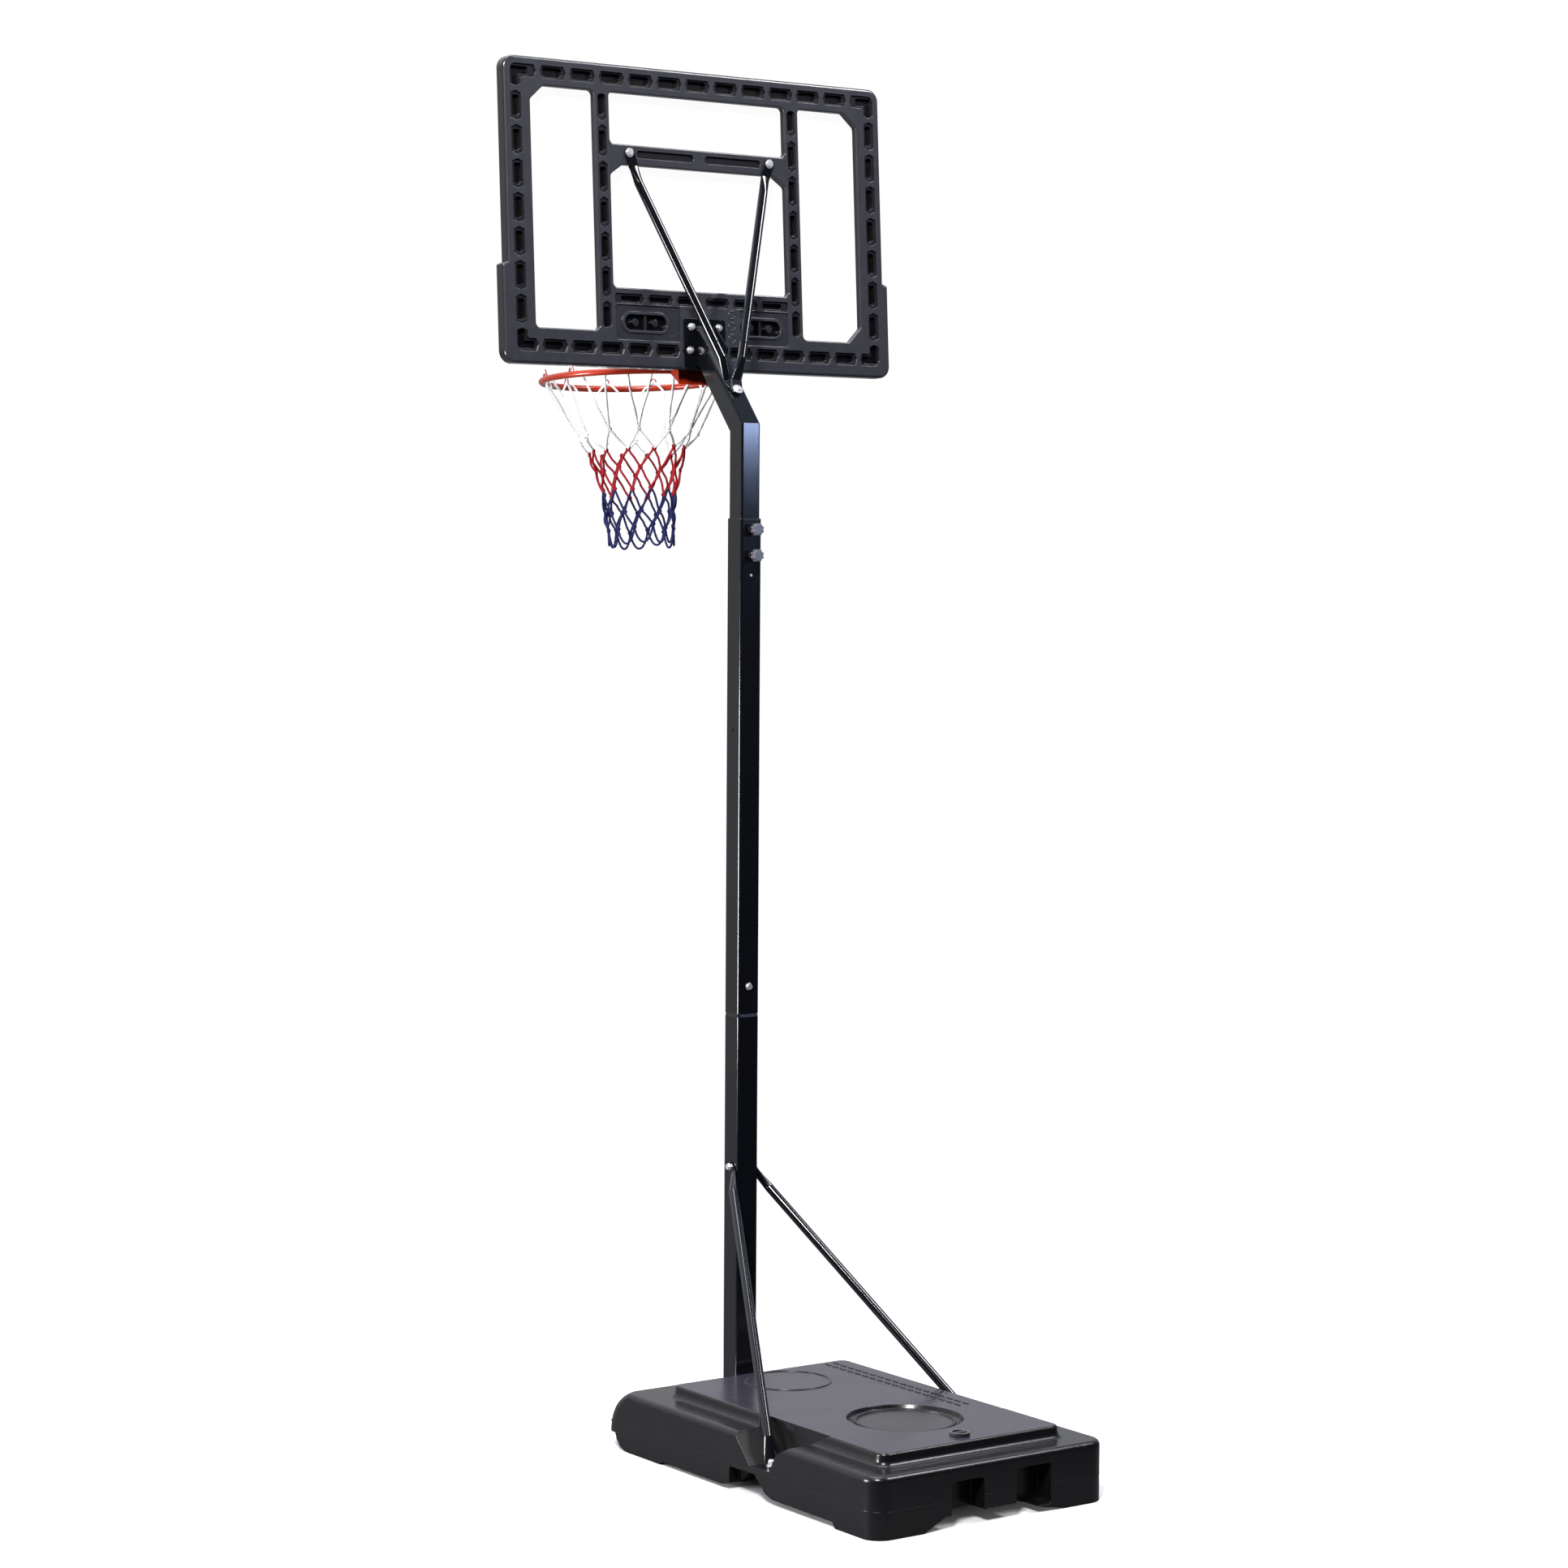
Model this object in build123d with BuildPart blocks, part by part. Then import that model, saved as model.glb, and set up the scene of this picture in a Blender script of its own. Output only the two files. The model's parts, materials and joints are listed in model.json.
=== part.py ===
from build123d import *
import os
from math import sin, cos, radians, sqrt

# Portable basketball hoop.  Millimetres.  +Z up, the ring and the board's front
# face -Y, the ballast tank runs back along +Y.  Origin: on the floor under the
# axis of the square mast.
os.makedirs("parts", exist_ok=True)

# ---------------------------------------------------------------- dimensions
POLE = 60.0            # outside width of lower and middle mast tubes
POLE_R = 6.0           # corner radius
WALL = 1.5             # tube wall
SWAGE = 56.6           # necked top end of the lower tube
JOINT_Z = 1033.0       # bottom edge of the middle tube
JOINT_LAP = 150.0
POLE_TOP = 2224.0      # top edge of the middle tube
INNER = 54.0           # top tube, slides in the middle tube
INNER_LOW = 1588.0     # bottom end of the top tube
BEND_Z = 2444.0        # mitre of the top tube
BEND_DEG = 40.0        # slant of its upper part from vertical, towards -Y
KNOB_Z = (2138.0, 2200.0)
JOINT_BOLT_Z = 1099.0

LEAN_DEG = 3.3         # forward lean of board and ring
BOARD_O = (0.0, -171.5, 2586.9)   # middle of the board's lower edge, back plane
BOARD_W = 1100.0
BOARD_H = 724.4
BOARD_T = 30.0
LEDGE_W = 1130.0
LEDGE_H = 238.0
PANEL_T = 3.0

RING_R = 233.0         # centre line of the ring rod (450 inside)
RING_ROD = 8.0         # rod radius
RING_OUT = 312.7       # ring centre in front of the board's back plane
RING_UP = 6.3          # ring plane above the board's lower edge
NET_H = 415.0

BASE_HALF = 330.0
BASE_FRONT = -92.0
BASE_REAR = 992.0
SHOULDER_Z = 140.0
TOP_Z = 169.0
WHEEL_R = 34.0
WHEEL_X = 235.0
AXLE_Y = -50.0
AXLE_Z = 38.0
AXLE_R = 5.0
BRACE_R = 11.0
TAB_T = 4.0
TAB_W = 26.0

# ------------------------------------------------------------ helper planes
lean = radians(LEAN_DEG)
board = Plane(origin=BOARD_O, x_dir=(1, 0, 0), z_dir=(0, -cos(lean), -sin(lean)))
slant = radians(BEND_DEG)
bend_pt = Vector(0, 0, BEND_Z)
slant_dir = Vector(0, -sin(slant), cos(slant))
slant_up = Vector(0, cos(slant), sin(slant))       # out of the slanted upper face


def on_board(x, z, depth=0.0):
    """World point at x, height z up the board and depth towards the ring."""
    return board.from_local_coords(Vector(x, z, depth))


def ring_of_square(w_out, r_out, w_in, r_in):
    """Square tube section on the active sketch plane."""
    RectangleRounded(w_out, w_out, r_out)
    RectangleRounded(w_in, w_in, r_in, mode=Mode.SUBTRACT)


def pinched_tube(tabs, reach, lap, drain_up):
    """Round tube whose two ends are pinched flat and bent to bolt-on tabs.

    tabs: two planes; origin at the bolt hole in the tab's mid plane, x along
    the tab towards the tube, z square to the tab.
    reach: two points where the full round section begins.
    """
    a, b = Vector(*reach[0]), Vector(*reach[1])
    along = (b - a).normalized()
    with BuildPart() as tube:
        body = Plane(origin=a, z_dir=along)
        with BuildSketch(body):
            Circle(BRACE_R)
        extrude(amount=(b - a).length)
        for tab, start, way in ((tabs[0], a, along * -1), (tabs[1], b, along)):
            side = tab.y_dir - way * tab.y_dir.dot(way)
            with BuildSketch(Plane(origin=tab.from_local_coords(Vector(lap, 0, 0)),
                                   x_dir=tab.y_dir, z_dir=tab.x_dir * -1)):
                Ellipse(TAB_W / 2, TAB_T / 2)
            with BuildSketch(Plane(origin=start, x_dir=side.normalized(), z_dir=way)):
                Circle(BRACE_R)
            loft()
            with BuildSketch(tab.offset(-TAB_T / 2)):
                Circle(TAB_W / 2)
                with Locations(((lap + 3) / 2, 0)):
                    Rectangle(lap + 3, TAB_W)
            extrude(amount=TAB_T)
        with BuildSketch(body):
            Circle(BRACE_R - 1.3)
        extrude(amount=(b - a).length, mode=Mode.SUBTRACT)
        # drain hole into the bore
        mid = a + along * 40
        with BuildSketch(Plane(origin=mid, z_dir=drain_up)):
            Circle(2.0)
        extrude(amount=BRACE_R + 2, mode=Mode.SUBTRACT)
        for tab in tabs:
            with BuildSketch(tab.offset(-TAB_T / 2 - 1)):
                Circle(4.25)
            extrude(amount=TAB_T + 2, mode=Mode.SUBTRACT)
    return tube


# =====================================================================  BASE
# Blow-moulded ballast tank.  The outside is lofted so that only the raked nose
# changes; everything else is cut from it.
with BuildPart() as base_tank:
    for z, front in ((0, -92), (50, -95), (80, -86), (110, -64), (130, -36), (140, -14)):
        with BuildSketch(Plane.XY.offset(z)):
            with Locations((0, (BASE_REAR + front) / 2)):
                RectangleRounded(2 * BASE_HALF, BASE_REAR - front, 45)
    loft()
    fillet(base_tank.faces().sort_by(Axis.Z)[-1].edges(), 13)
    # moulding seam
    with BuildSketch(Plane.XY.offset(61)):
        with Locations((0, (BASE_REAR - 94.5) / 2)):
            RectangleRounded(2 * BASE_HALF + 1.2, BASE_REAR + 94.5 + 1.2, 45.6)
    extrude(amount=1.6)
    # raised plateau with a concave cove at its foot
    with BuildSketch(Plane.XY.offset(SHOULDER_Z - 1)):
        with Locations((0, (82 + 921) / 2)):
            RectangleRounded(514, 839, 26)
    extrude(amount=TOP_Z - SHOULDER_Z + 1, taper=7)
    foot = [e for e in base_tank.edges().filter_by_position(Axis.Z, SHOULDER_Z - 0.1, SHOULDER_Z + 0.1)
            if abs(e.center().X) < 262 and 78 < e.center().Y < 930 and e.bounding_box().max.X < 270]
    fillet(foot, 15)
    fillet(base_tank.faces().sort_by(Axis.Z)[-1].edges(), 6.5)

    # underside: step below the nose, arch between the feet, raised belly
    with BuildSketch(Plane.YZ.offset(-400)):
        with BuildLine():
            Polyline((-130, -2), (-130, 38), (-46, 38), (-40, 24), (-26, 10), (-6, 2), (16, 0), (16, -2), close=True)
        make_face()
        with BuildLine():
            Polyline((146, -2), (156, 7), (404, 8), (428, 13), (452, 24), (474, 42), (488, 57),
                     (536, 57), (556, 40), (578, 22), (604, 13), (836, 13), (850, -2), close=True)
        make_face()
    extrude(amount=800, mode=Mode.SUBTRACT)
    # the front feet end short of the side faces
    for s in (1, -1):
        with BuildSketch(Plane.YZ.offset(s * 304)):
            with Locations((478, 26)):
                RectangleRounded(84, 60, 8)
        extrude(amount=s * 40, mode=Mode.SUBTRACT)
    # arch between the rear corner feet
    with BuildSketch(Plane.XZ.offset(-BASE_REAR - 2)):
        with BuildLine():
            Polyline((198, -2), (134, 29), (-60, 32), (-140, 12), (-216, -2), close=True)
        make_face()
    extrude(amount=150, mode=Mode.SUBTRACT)
    # rear hand grips, open below
    with BuildSketch(Plane.XZ.offset(-BASE_REAR - 2)):
        with Locations((72, 60)):
            RectangleRounded(92, 88, 9)
        with Locations((-115, 63)):
            RectangleRounded(100, 94, 9)
    extrude(amount=50, mode=Mode.SUBTRACT)
    # notches in the sides for the brace ends
    for s in (1, -1):
        with BuildSketch(Plane.YZ.offset(s * 247)):
            with BuildLine():
                Polyline((446, 176), (450, 152), (461, 134), (476, 116), (519, 73), (592, 73), (620, 116), (672, 147),
                         (712, 166), (724, 176), close=True)
            make_face()
        extrude(amount=s * 100, mode=Mode.SUBTRACT)
    # brace bolt holes through the notch floors
    with Locations((299, 560, 100), (-299, 560, 100)):
        Cylinder(4.4, 120, mode=Mode.SUBTRACT)
    with Locations((299, 560, 27), (-299, 560, 27)):
        Cylinder(15, 60, mode=Mode.SUBTRACT)
    # well for the mast
    with BuildSketch(Plane.XY.offset(-2)):
        RectangleRounded(POLE + 1, POLE + 1, POLE_R)
    extrude(amount=180, mode=Mode.SUBTRACT)
    # wheel wells and axle groove
    for s in (1, -1):
        with BuildSketch(Plane.YZ.offset(s * (WHEEL_X - 19))):
            with Locations((AXLE_Y, AXLE_Z)):
                Circle(WHEEL_R + 5)
            with Locations((AXLE_Y, AXLE_Z / 2 - 2)):
                Rectangle(2 * WHEEL_R + 10, AXLE_Z + 4)
        extrude(amount=s * 48, mode=Mode.SUBTRACT)
    with BuildSketch(Plane.YZ.offset(-268)):
        with Locations((AXLE_Y, AXLE_Z)):
            Circle(AXLE_R + 0.1)
        with Locations((AXLE_Y, AXLE_Z - 12)):
            Rectangle(2 * AXLE_R + 0.2, 24)
    extrude(amount=536, mode=Mode.SUBTRACT)

    # dished round recess with raised seam ribs
    with BuildSketch(Plane.XY.offset(TOP_Z - 9)):
        with Locations((0, 665)):
            Circle(130)
    extrude(amount=12, taper=-28, mode=Mode.SUBTRACT)
    with BuildSketch(Plane.XY.offset(TOP_Z - 9.5)):
        with Locations((0, 665)):
            Rectangle(7, 300)
            Rectangle(300, 7)
        with Locations((170, 665), (-170, 665)):
            Circle(113)
            Circle(106, mode=Mode.SUBTRACT)
        with Locations((0, 665)):
            Circle(118)
            Circle(111, mode=Mode.SUBTRACT)
            Circle(127, mode=Mode.INTERSECT)
    extrude(amount=4.5)
    # raised plain ring near the mast and a plain row of dashes
    with BuildSketch(Plane.XY.offset(TOP_Z - 0.5)):
        with Locations((0, 204)):
            Circle(105)
            Circle(99.5, mode=Mode.SUBTRACT)
        with Locations((-182, 372)):
            with GridLocations(0, 30, 1, 18):
                Rectangle(5, 19)
        with Locations((-206, 372)):
            with GridLocations(0, 30, 1, 18):
                Rectangle(5, 19)
    extrude(amount=2.4)
    # filler neck
    with Locations((0, 868, TOP_Z - 10)):
        Cylinder(17.0, 40, mode=Mode.SUBTRACT)

    # inner room of the tank
    with BuildSketch(Plane.YZ.offset(42)):
        with BuildLine():
            Polyline((-86, 48), (-78, 78), (-58, 104), (-34, 121), (-8, 130), (40, 131), (40, 12), (-6, 12),
                     (-24, 24), (-34, 48), close=True)
        make_face()
    extrude(amount=WHEEL_X - 19 - 42 - 7, mode=Mode.SUBTRACT)
    with BuildSketch(Plane.YZ.offset(-42)):
        with BuildLine():
            Polyline((-86, 48), (-78, 78), (-58, 104), (-34, 121), (-8, 130), (40, 131), (40, 12), (-6, 12),
                     (-24, 24), (-34, 48), close=True)
        make_face()
    extrude(amount=-(WHEEL_X - 19 - 42 - 7), mode=Mode.SUBTRACT)
    with BuildSketch(Plane.YZ.offset(-321)):
        with BuildLine():
            Polyline((38, 12), (38, 134), (429, 134), (429, 20), (412, 13), (404, 12), close=True)
        make_face()
        with BuildLine():
            Polyline((728, 18), (728, 134), (937, 134), (937, 38), (836, 38), (836, 18), close=True)
        make_face()
    extrude(amount=642, mode=Mode.SUBTRACT)
    with BuildSketch(Plane.YZ.offset(-240)):
        with Locations(((420 + 740) / 2, (63 + 132) / 2)):
            Rectangle(740 - 420, 132 - 63)
        with Locations(((100 + 912) / 2, (126 + 150) / 2)):
            Rectangle(912 - 100, 150 - 126)
        with Locations(((100 + 500) / 2, (140 + 163) / 2)):
            Rectangle(500 - 100, 163 - 140)
        with Locations(((826 + 912) / 2, (140 + 163) / 2)):
            Rectangle(912 - 826, 163 - 140)
    extrude(amount=480, mode=Mode.SUBTRACT)
base_tank.part.label = "base_tank"
export_step(base_tank.part, "parts/base_tank.step")
print("base_tank", base_tank.part.is_valid, len(base_tank.solids()), round(base_tank.part.volume / 1e6, 3))

# water in the tank, up to a level below the neck
with BuildPart() as tank_ballast:
    with BuildSketch(Plane.YZ.offset(-320)):
        with BuildLine():
            Polyline((39, 13), (39, 133), (428, 133), (428, 21), (412, 14), (404, 13), close=True)
        make_face()
        with BuildLine():
            Polyline((729, 19), (729, 133), (936, 133), (936, 39), (835, 39), (835, 19), close=True)
        make_face()
    extrude(amount=640)
    with BuildSketch(Plane.YZ.offset(-239)):
        with Locations(((420 + 745) / 2, (64 + 133) / 2)):
            Rectangle(745 - 420, 133 - 64)
    extrude(amount=478)
tank_ballast.part.label = "tank_ballast"
export_step(tank_ballast.part, "parts/tank_ballast.step")

# screw cap of the filler neck, knurled, and its washer
CAP = Plane((0, 868, TOP_Z))
with BuildPart() as filler_seal:
    with BuildSketch(CAP):
        Circle(22)
        Circle(17.2, mode=Mode.SUBTRACT)
    extrude(amount=1.2)
filler_seal.part.label = "filler_seal"
export_step(filler_seal.part, "parts/filler_seal.step")

with BuildPart() as filler_cap:
    with BuildSketch(CAP.offset(1.2)):
        Circle(23.5)
        with PolarLocations(24.2, 24):
            Circle(1.1, mode=Mode.SUBTRACT)
    extrude(amount=7)
    fillet(filler_cap.faces().sort_by(Axis.Z)[-1].edges(), 0.6)
    with BuildSketch(CAP.offset(1.2 + 7 - 2.5)):
        Circle(17.5)
    extrude(amount=3, mode=Mode.SUBTRACT)
    with BuildSketch(CAP.offset(1.2 + 7 - 2.5)):
        Rectangle(30, 5)
    extrude(amount=2)
    with BuildSketch(CAP.offset(1.3)):
        Circle(16.93)
        Circle(13, mode=Mode.SUBTRACT)
    extrude(amount=-9.3)
filler_cap.part.label = "filler_cap"
export_step(filler_cap.part, "parts/filler_cap.step")

# transport wheels under the nose, axle and push caps
with BuildPart() as wheel_axle:
    with BuildSketch(Plane.YZ.offset(-262)):
        with Locations((AXLE_Y, AXLE_Z)):
            Circle(AXLE_R)
    extrude(amount=524)
    chamfer(wheel_axle.edges().filter_by(GeomType.CIRCLE), 0.8)
wheel_axle.part.label = "wheel_axle"
export_step(wheel_axle.part, "parts/wheel_axle.step")

with BuildPart() as axle_push_caps:
    for s in (1, -1):
        with BuildSketch(Plane.YZ.offset(s * 255.5)):
            with Locations((AXLE_Y, AXLE_Z)):
                Circle(9.5)
                Circle(AXLE_R, mode=Mode.SUBTRACT)
        extrude(amount=s * 2.5)
axle_push_caps.part.label = "axle_push_caps"
export_step(axle_push_caps.part, "parts/axle_push_caps.step")


def wheel(s):
    """Moulded wheel with hub, five ribs and a rounded tread."""
    face = Plane(origin=(s * WHEEL_X, AXLE_Y, AXLE_Z), x_dir=(0, 1, 0), z_dir=(1, 0, 0))
    with BuildPart() as w:
        with BuildSketch(face.offset(-14)):
            Circle(WHEEL_R)
        extrude(amount=28)
        fillet(w.edges().filter_by(GeomType.CIRCLE), 4)
        for d in (1, -1):
            with BuildSketch(face.offset(d * 5)):
                Circle(26)
                Circle(11, mode=Mode.SUBTRACT)
                with PolarLocations(18, 5):
                    Rectangle(17, 4, mode=Mode.SUBTRACT)
            extrude(amount=d * 12, mode=Mode.SUBTRACT)
        with BuildSketch(face.offset(-17)):
            Circle(11)
        extrude(amount=34)
        with BuildSketch(face.offset(-20)):
            Circle(AXLE_R + 0.06)
        extrude(amount=40, mode=Mode.SUBTRACT)
    return w


wheel_left = wheel(1)
wheel_left.part.label = "wheel_left"
export_step(wheel_left.part, "parts/wheel_left.step")
wheel_right = wheel(-1)
wheel_right.part.label = "wheel_right"
export_step(wheel_right.part, "parts/wheel_right.step")

# =====================================================================  MAST
with BuildPart() as pole_foot_cap:
    with BuildSketch(Plane.XY):
        RectangleRounded(POLE, POLE, POLE_R)
    extrude(amount=6)
    with BuildSketch(Plane.XY.offset(6)):
        ring_of_square(POLE - 2 * WALL - 0.3, POLE_R - WALL, 48, 3)
    extrude(amount=22)
pole_foot_cap.part.label = "pole_foot_cap"
export_step(pole_foot_cap.part, "parts/pole_foot_cap.step")

with BuildPart() as lower_pole:
    with BuildSketch(Plane.XY.offset(6)):
        RectangleRounded(POLE, POLE, POLE_R)
    extrude(amount=JOINT_Z - 8 - 6)
    with BuildSketch(Plane.XY.offset(JOINT_Z - 8)):
        RectangleRounded(POLE, POLE, POLE_R)
    with BuildSketch(Plane.XY.offset(JOINT_Z)):
        RectangleRounded(SWAGE, SWAGE, POLE_R - WALL - 0.2)
    loft()
    with BuildSketch(Plane.XY.offset(JOINT_Z)):
        RectangleRounded(SWAGE, SWAGE, POLE_R - WALL - 0.2)
    extrude(amount=JOINT_LAP)
    with BuildSketch(Plane.XY.offset(6)):
        RectangleRounded(POLE - 2 * WALL, POLE - 2 * WALL, POLE_R - WALL)
    extrude(amount=JOINT_Z - 12 - 6, mode=Mode.SUBTRACT)
    with BuildSketch(Plane.XY.offset(JOINT_Z - 20)):
        RectangleRounded(SWAGE - 2 * WALL, SWAGE - 2 * WALL, 3)
    extrude(amount=JOINT_LAP + 30, mode=Mode.SUBTRACT)
    with Locations(Location((0, 0, JOINT_BOLT_Z), (90, 0, 0))):
        Cylinder(4.2, 100, mode=Mode.SUBTRACT)
    with Locations(Location((0, 0, 660), (0, 90, 0))):
        Cylinder(4.2, 100, mode=Mode.SUBTRACT)
lower_pole.part.label = "lower_pole"
export_step(lower_pole.part, "parts/lower_pole.step")

with BuildPart() as middle_pole:
    with BuildSketch(Plane.XY.offset(JOINT_Z)):
        ring_of_square(POLE, POLE_R, POLE - 2 * WALL, POLE_R - WALL)
    extrude(amount=POLE_TOP - JOINT_Z)
    with Locations(Location((0, 0, JOINT_BOLT_Z), (90, 0, 0))):
        Cylinder(4.2, 100, mode=Mode.SUBTRACT)
    with Locations(Location((30, 0, 1718), (0, 90, 0))):
        Cylinder(3.0, 10, mode=Mode.SUBTRACT)
    with Locations(Location((0, 30, 2090), (90, 0, 0))):
        Cylinder(2.1, 10, mode=Mode.SUBTRACT)
    for z in KNOB_Z:
        with Locations(Location((0, 30, z), (90, 0, 0))):
            Cylinder(5.3, 10, mode=Mode.SUBTRACT)
middle_pole.part.label = "middle_pole"
export_step(middle_pole.part, "parts/middle_pole.step")

# plastic guide bush in the middle tube's mouth
with BuildPart() as guide_bush:
    with BuildSketch(Plane.XY.offset(POLE_TOP - 160)):
        ring_of_square(POLE - 2 * WALL - 0.2, POLE_R - WALL - 0.1, INNER + 0.14, 5)
    extrude(amount=160)
    with BuildSketch(Plane.XY.offset(POLE_TOP)):
        ring_of_square(POLE, POLE_R, INNER + 0.14, 5)
    extrude(amount=2.5)
    for z in KNOB_Z:
        with Locations(Location((0, 28, z), (90, 0, 0))):
            Cylinder(5.3, 12, mode=Mode.SUBTRACT)
    with Locations(Location((0, 28, 2090), (90, 0, 0))):
        Cylinder(2.1, 12, mode=Mode.SUBTRACT)
guide_bush.part.label = "guide_bush"
export_step(guide_bush.part, "parts/guide_bush.step")

with BuildPart() as bush_rivet:
    with BuildSketch(Plane.XZ.offset(-30)):
        with Locations((0, 2090)):
            Circle(3.6)
    extrude(amount=-1.3)
    fillet(bush_rivet.faces().sort_by(Axis.Y)[-1].edges(), 1.0)
    with BuildSketch(Plane.XZ.offset(-30)):
        with Locations((0, 2090)):
            Circle(2.0)
    extrude(amount=2.6)
bush_rivet.part.label = "bush_rivet"
export_step(bush_rivet.part, "parts/bush_rivet.step")

# through bolt of the tube joint
jb = Plane(origin=(0, 30, JOINT_BOLT_Z), x_dir=(1, 0, 0), z_dir=(0, 1, 0))
with BuildPart() as joint_bolt:
    with BuildSketch(jb):
        Circle(9)
    extrude(amount=1.4)
    with BuildSketch(jb.offset(1.4)):
        RegularPolygon(7.2, 6)
    extrude(amount=5)
    with BuildSketch(jb):
        Circle(4)
    extrude(amount=-70)
joint_bolt.part.label = "joint_bolt"
export_step(joint_bolt.part, "parts/joint_bolt.step")

jn = Plane(origin=(0, -30, JOINT_BOLT_Z), x_dir=(1, 0, 0), z_dir=(0, -1, 0))
with BuildPart() as joint_nut:
    with BuildSketch(jn):
        Circle(9)
    extrude(amount=1.4)
    with BuildSketch(jn.offset(1.4)):
        RegularPolygon(7.2, 6)
    extrude(amount=6)
    with BuildSketch(jn.offset(-1)):
        Circle(4)
    extrude(amount=12, mode=Mode.SUBTRACT)
joint_nut.part.label = "joint_nut"
export_step(joint_nut.part, "parts/joint_nut.step")


# clamp: threaded collars welded to the middle tube, screws and fluted heads
with BuildPart() as clamp_collars:
    for z in KNOB_Z:
        face = Plane(origin=(0, 30, z), x_dir=(1, 0, 0), z_dir=(0, 1, 0))
        with BuildSketch(face):
            Circle(13)
        extrude(amount=10)
        with BuildSketch(face.offset(-1)):
            Circle(5.08)
        extrude(amount=20, mode=Mode.SUBTRACT)
    fillet(clamp_collars.faces().sort_by(Axis.Y)[-2:].edges().filter_by(GeomType.CIRCLE), 0.8)
clamp_collars.part.label = "clamp_collars"
export_step(clamp_collars.part, "parts/clamp_collars.step")


def clamp_screw(z):
    face = Plane(origin=(0, 27.15, z), x_dir=(1, 0, 0), z_dir=(0, 1, 0))
    with BuildPart() as scr:
        with BuildSketch(face):
            Circle(5)
        extrude(amount=27)
        chamfer(scr.edges().filter_by(GeomType.CIRCLE), 0.8)
    return scr


def clamp_head(z):
    face = Plane(origin=(0, 43, z), x_dir=(1, 0, 0), z_dir=(0, 1, 0))
    with BuildPart() as hd:
        with BuildSketch(face):
            Circle(9)
        extrude(amount=5)
        with BuildSketch(face.offset(5)):
            Circle(15)
            with PolarLocations(17.2, 8):
                Circle(4.6, mode=Mode.SUBTRACT)
        extrude(amount=15)
        fillet(hd.faces().sort_by(Axis.Y)[-1].edges(), 1.6)
        with BuildSketch(face.offset(-1)):
            Circle(5)
        extrude(amount=12.15, mode=Mode.SUBTRACT)
    return hd


clamp_screw_lower = clamp_screw(KNOB_Z[0])
clamp_screw_lower.part.label = "clamp_screw_lower"
export_step(clamp_screw_lower.part, "parts/clamp_screw_lower.step")
clamp_screw_upper = clamp_screw(KNOB_Z[1])
clamp_screw_upper.part.label = "clamp_screw_upper"
export_step(clamp_screw_upper.part, "parts/clamp_screw_upper.step")
clamp_head_lower = clamp_head(KNOB_Z[0])
clamp_head_lower.part.label = "clamp_head_lower"
export_step(clamp_head_lower.part, "parts/clamp_head_lower.step")
clamp_head_upper = clamp_head(KNOB_Z[1])
clamp_head_upper.part.label = "clamp_head_upper"
export_step(clamp_head_upper.part, "parts/clamp_head_upper.step")

# top tube: straight run, mitred and slanted towards the board
mitre = Plane(origin=bend_pt, z_dir=(0, -sin(slant / 2), cos(slant / 2)))
plate_back = Plane(origin=on_board(0, 0, -4), x_dir=(1, 0, 0), z_dir=(0, -cos(lean), -sin(lean)))
slant_plane = Plane(origin=bend_pt, x_dir=(1, 0, 0), z_dir=slant_dir)
strut_bolt_at = bend_pt + slant_up * (INNER / 2) + slant_dir * 91
with BuildPart() as top_tube:
    with BuildSketch(Plane.XY.offset(INNER_LOW)):
        RectangleRounded(INNER, INNER, 5)
    extrude(amount=BEND_Z + 60 - INNER_LOW)
    split(bisect_by=mitre, keep=Keep.BOTTOM)
    with BuildSketch(slant_plane.offset(-60), mode=Mode.PRIVATE) as slant_sk:
        RectangleRounded(INNER, INNER, 5)
    upper = extrude(slant_sk.sketch, amount=400, dir=slant_dir, mode=Mode.PRIVATE)
    upper = split(upper, bisect_by=mitre, keep=Keep.TOP, mode=Mode.PRIVATE)
    upper = split(upper, bisect_by=plate_back, keep=Keep.BOTTOM, mode=Mode.PRIVATE)
    add(upper)
    # bore, also mitred
    with BuildSketch(Plane.XY.offset(INNER_LOW - 1), mode=Mode.PRIVATE) as bore_sk:
        RectangleRounded(INNER - 2 * WALL, INNER - 2 * WALL, 3.5)
    bore = extrude(bore_sk.sketch, amount=BEND_Z + 61 - INNER_LOW, dir=(0, 0, 1), mode=Mode.PRIVATE)
    bore = split(bore, bisect_by=mitre, keep=Keep.BOTTOM, mode=Mode.PRIVATE)
    add(bore, mode=Mode.SUBTRACT)
    with BuildSketch(slant_plane.offset(-60), mode=Mode.PRIVATE) as bore2_sk:
        RectangleRounded(INNER - 2 * WALL, INNER - 2 * WALL, 3.5)
    bore2 = extrude(bore2_sk.sketch, amount=420, dir=slant_dir, mode=Mode.PRIVATE)
    bore2 = split(bore2, bisect_by=mitre, keep=Keep.TOP, mode=Mode.PRIVATE)
    add(bore2, mode=Mode.SUBTRACT)
    with BuildSketch(Plane(origin=strut_bolt_at, x_dir=(1, 0, 0), z_dir=slant_up)):
        Circle(4.2)
    extrude(amount=140, both=True, mode=Mode.SUBTRACT)
top_tube.part.label = "top_tube"
export_step(top_tube.part, "parts/top_tube.step")
print("top_tube", top_tube.part.is_valid, len(top_tube.solids()))

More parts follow.
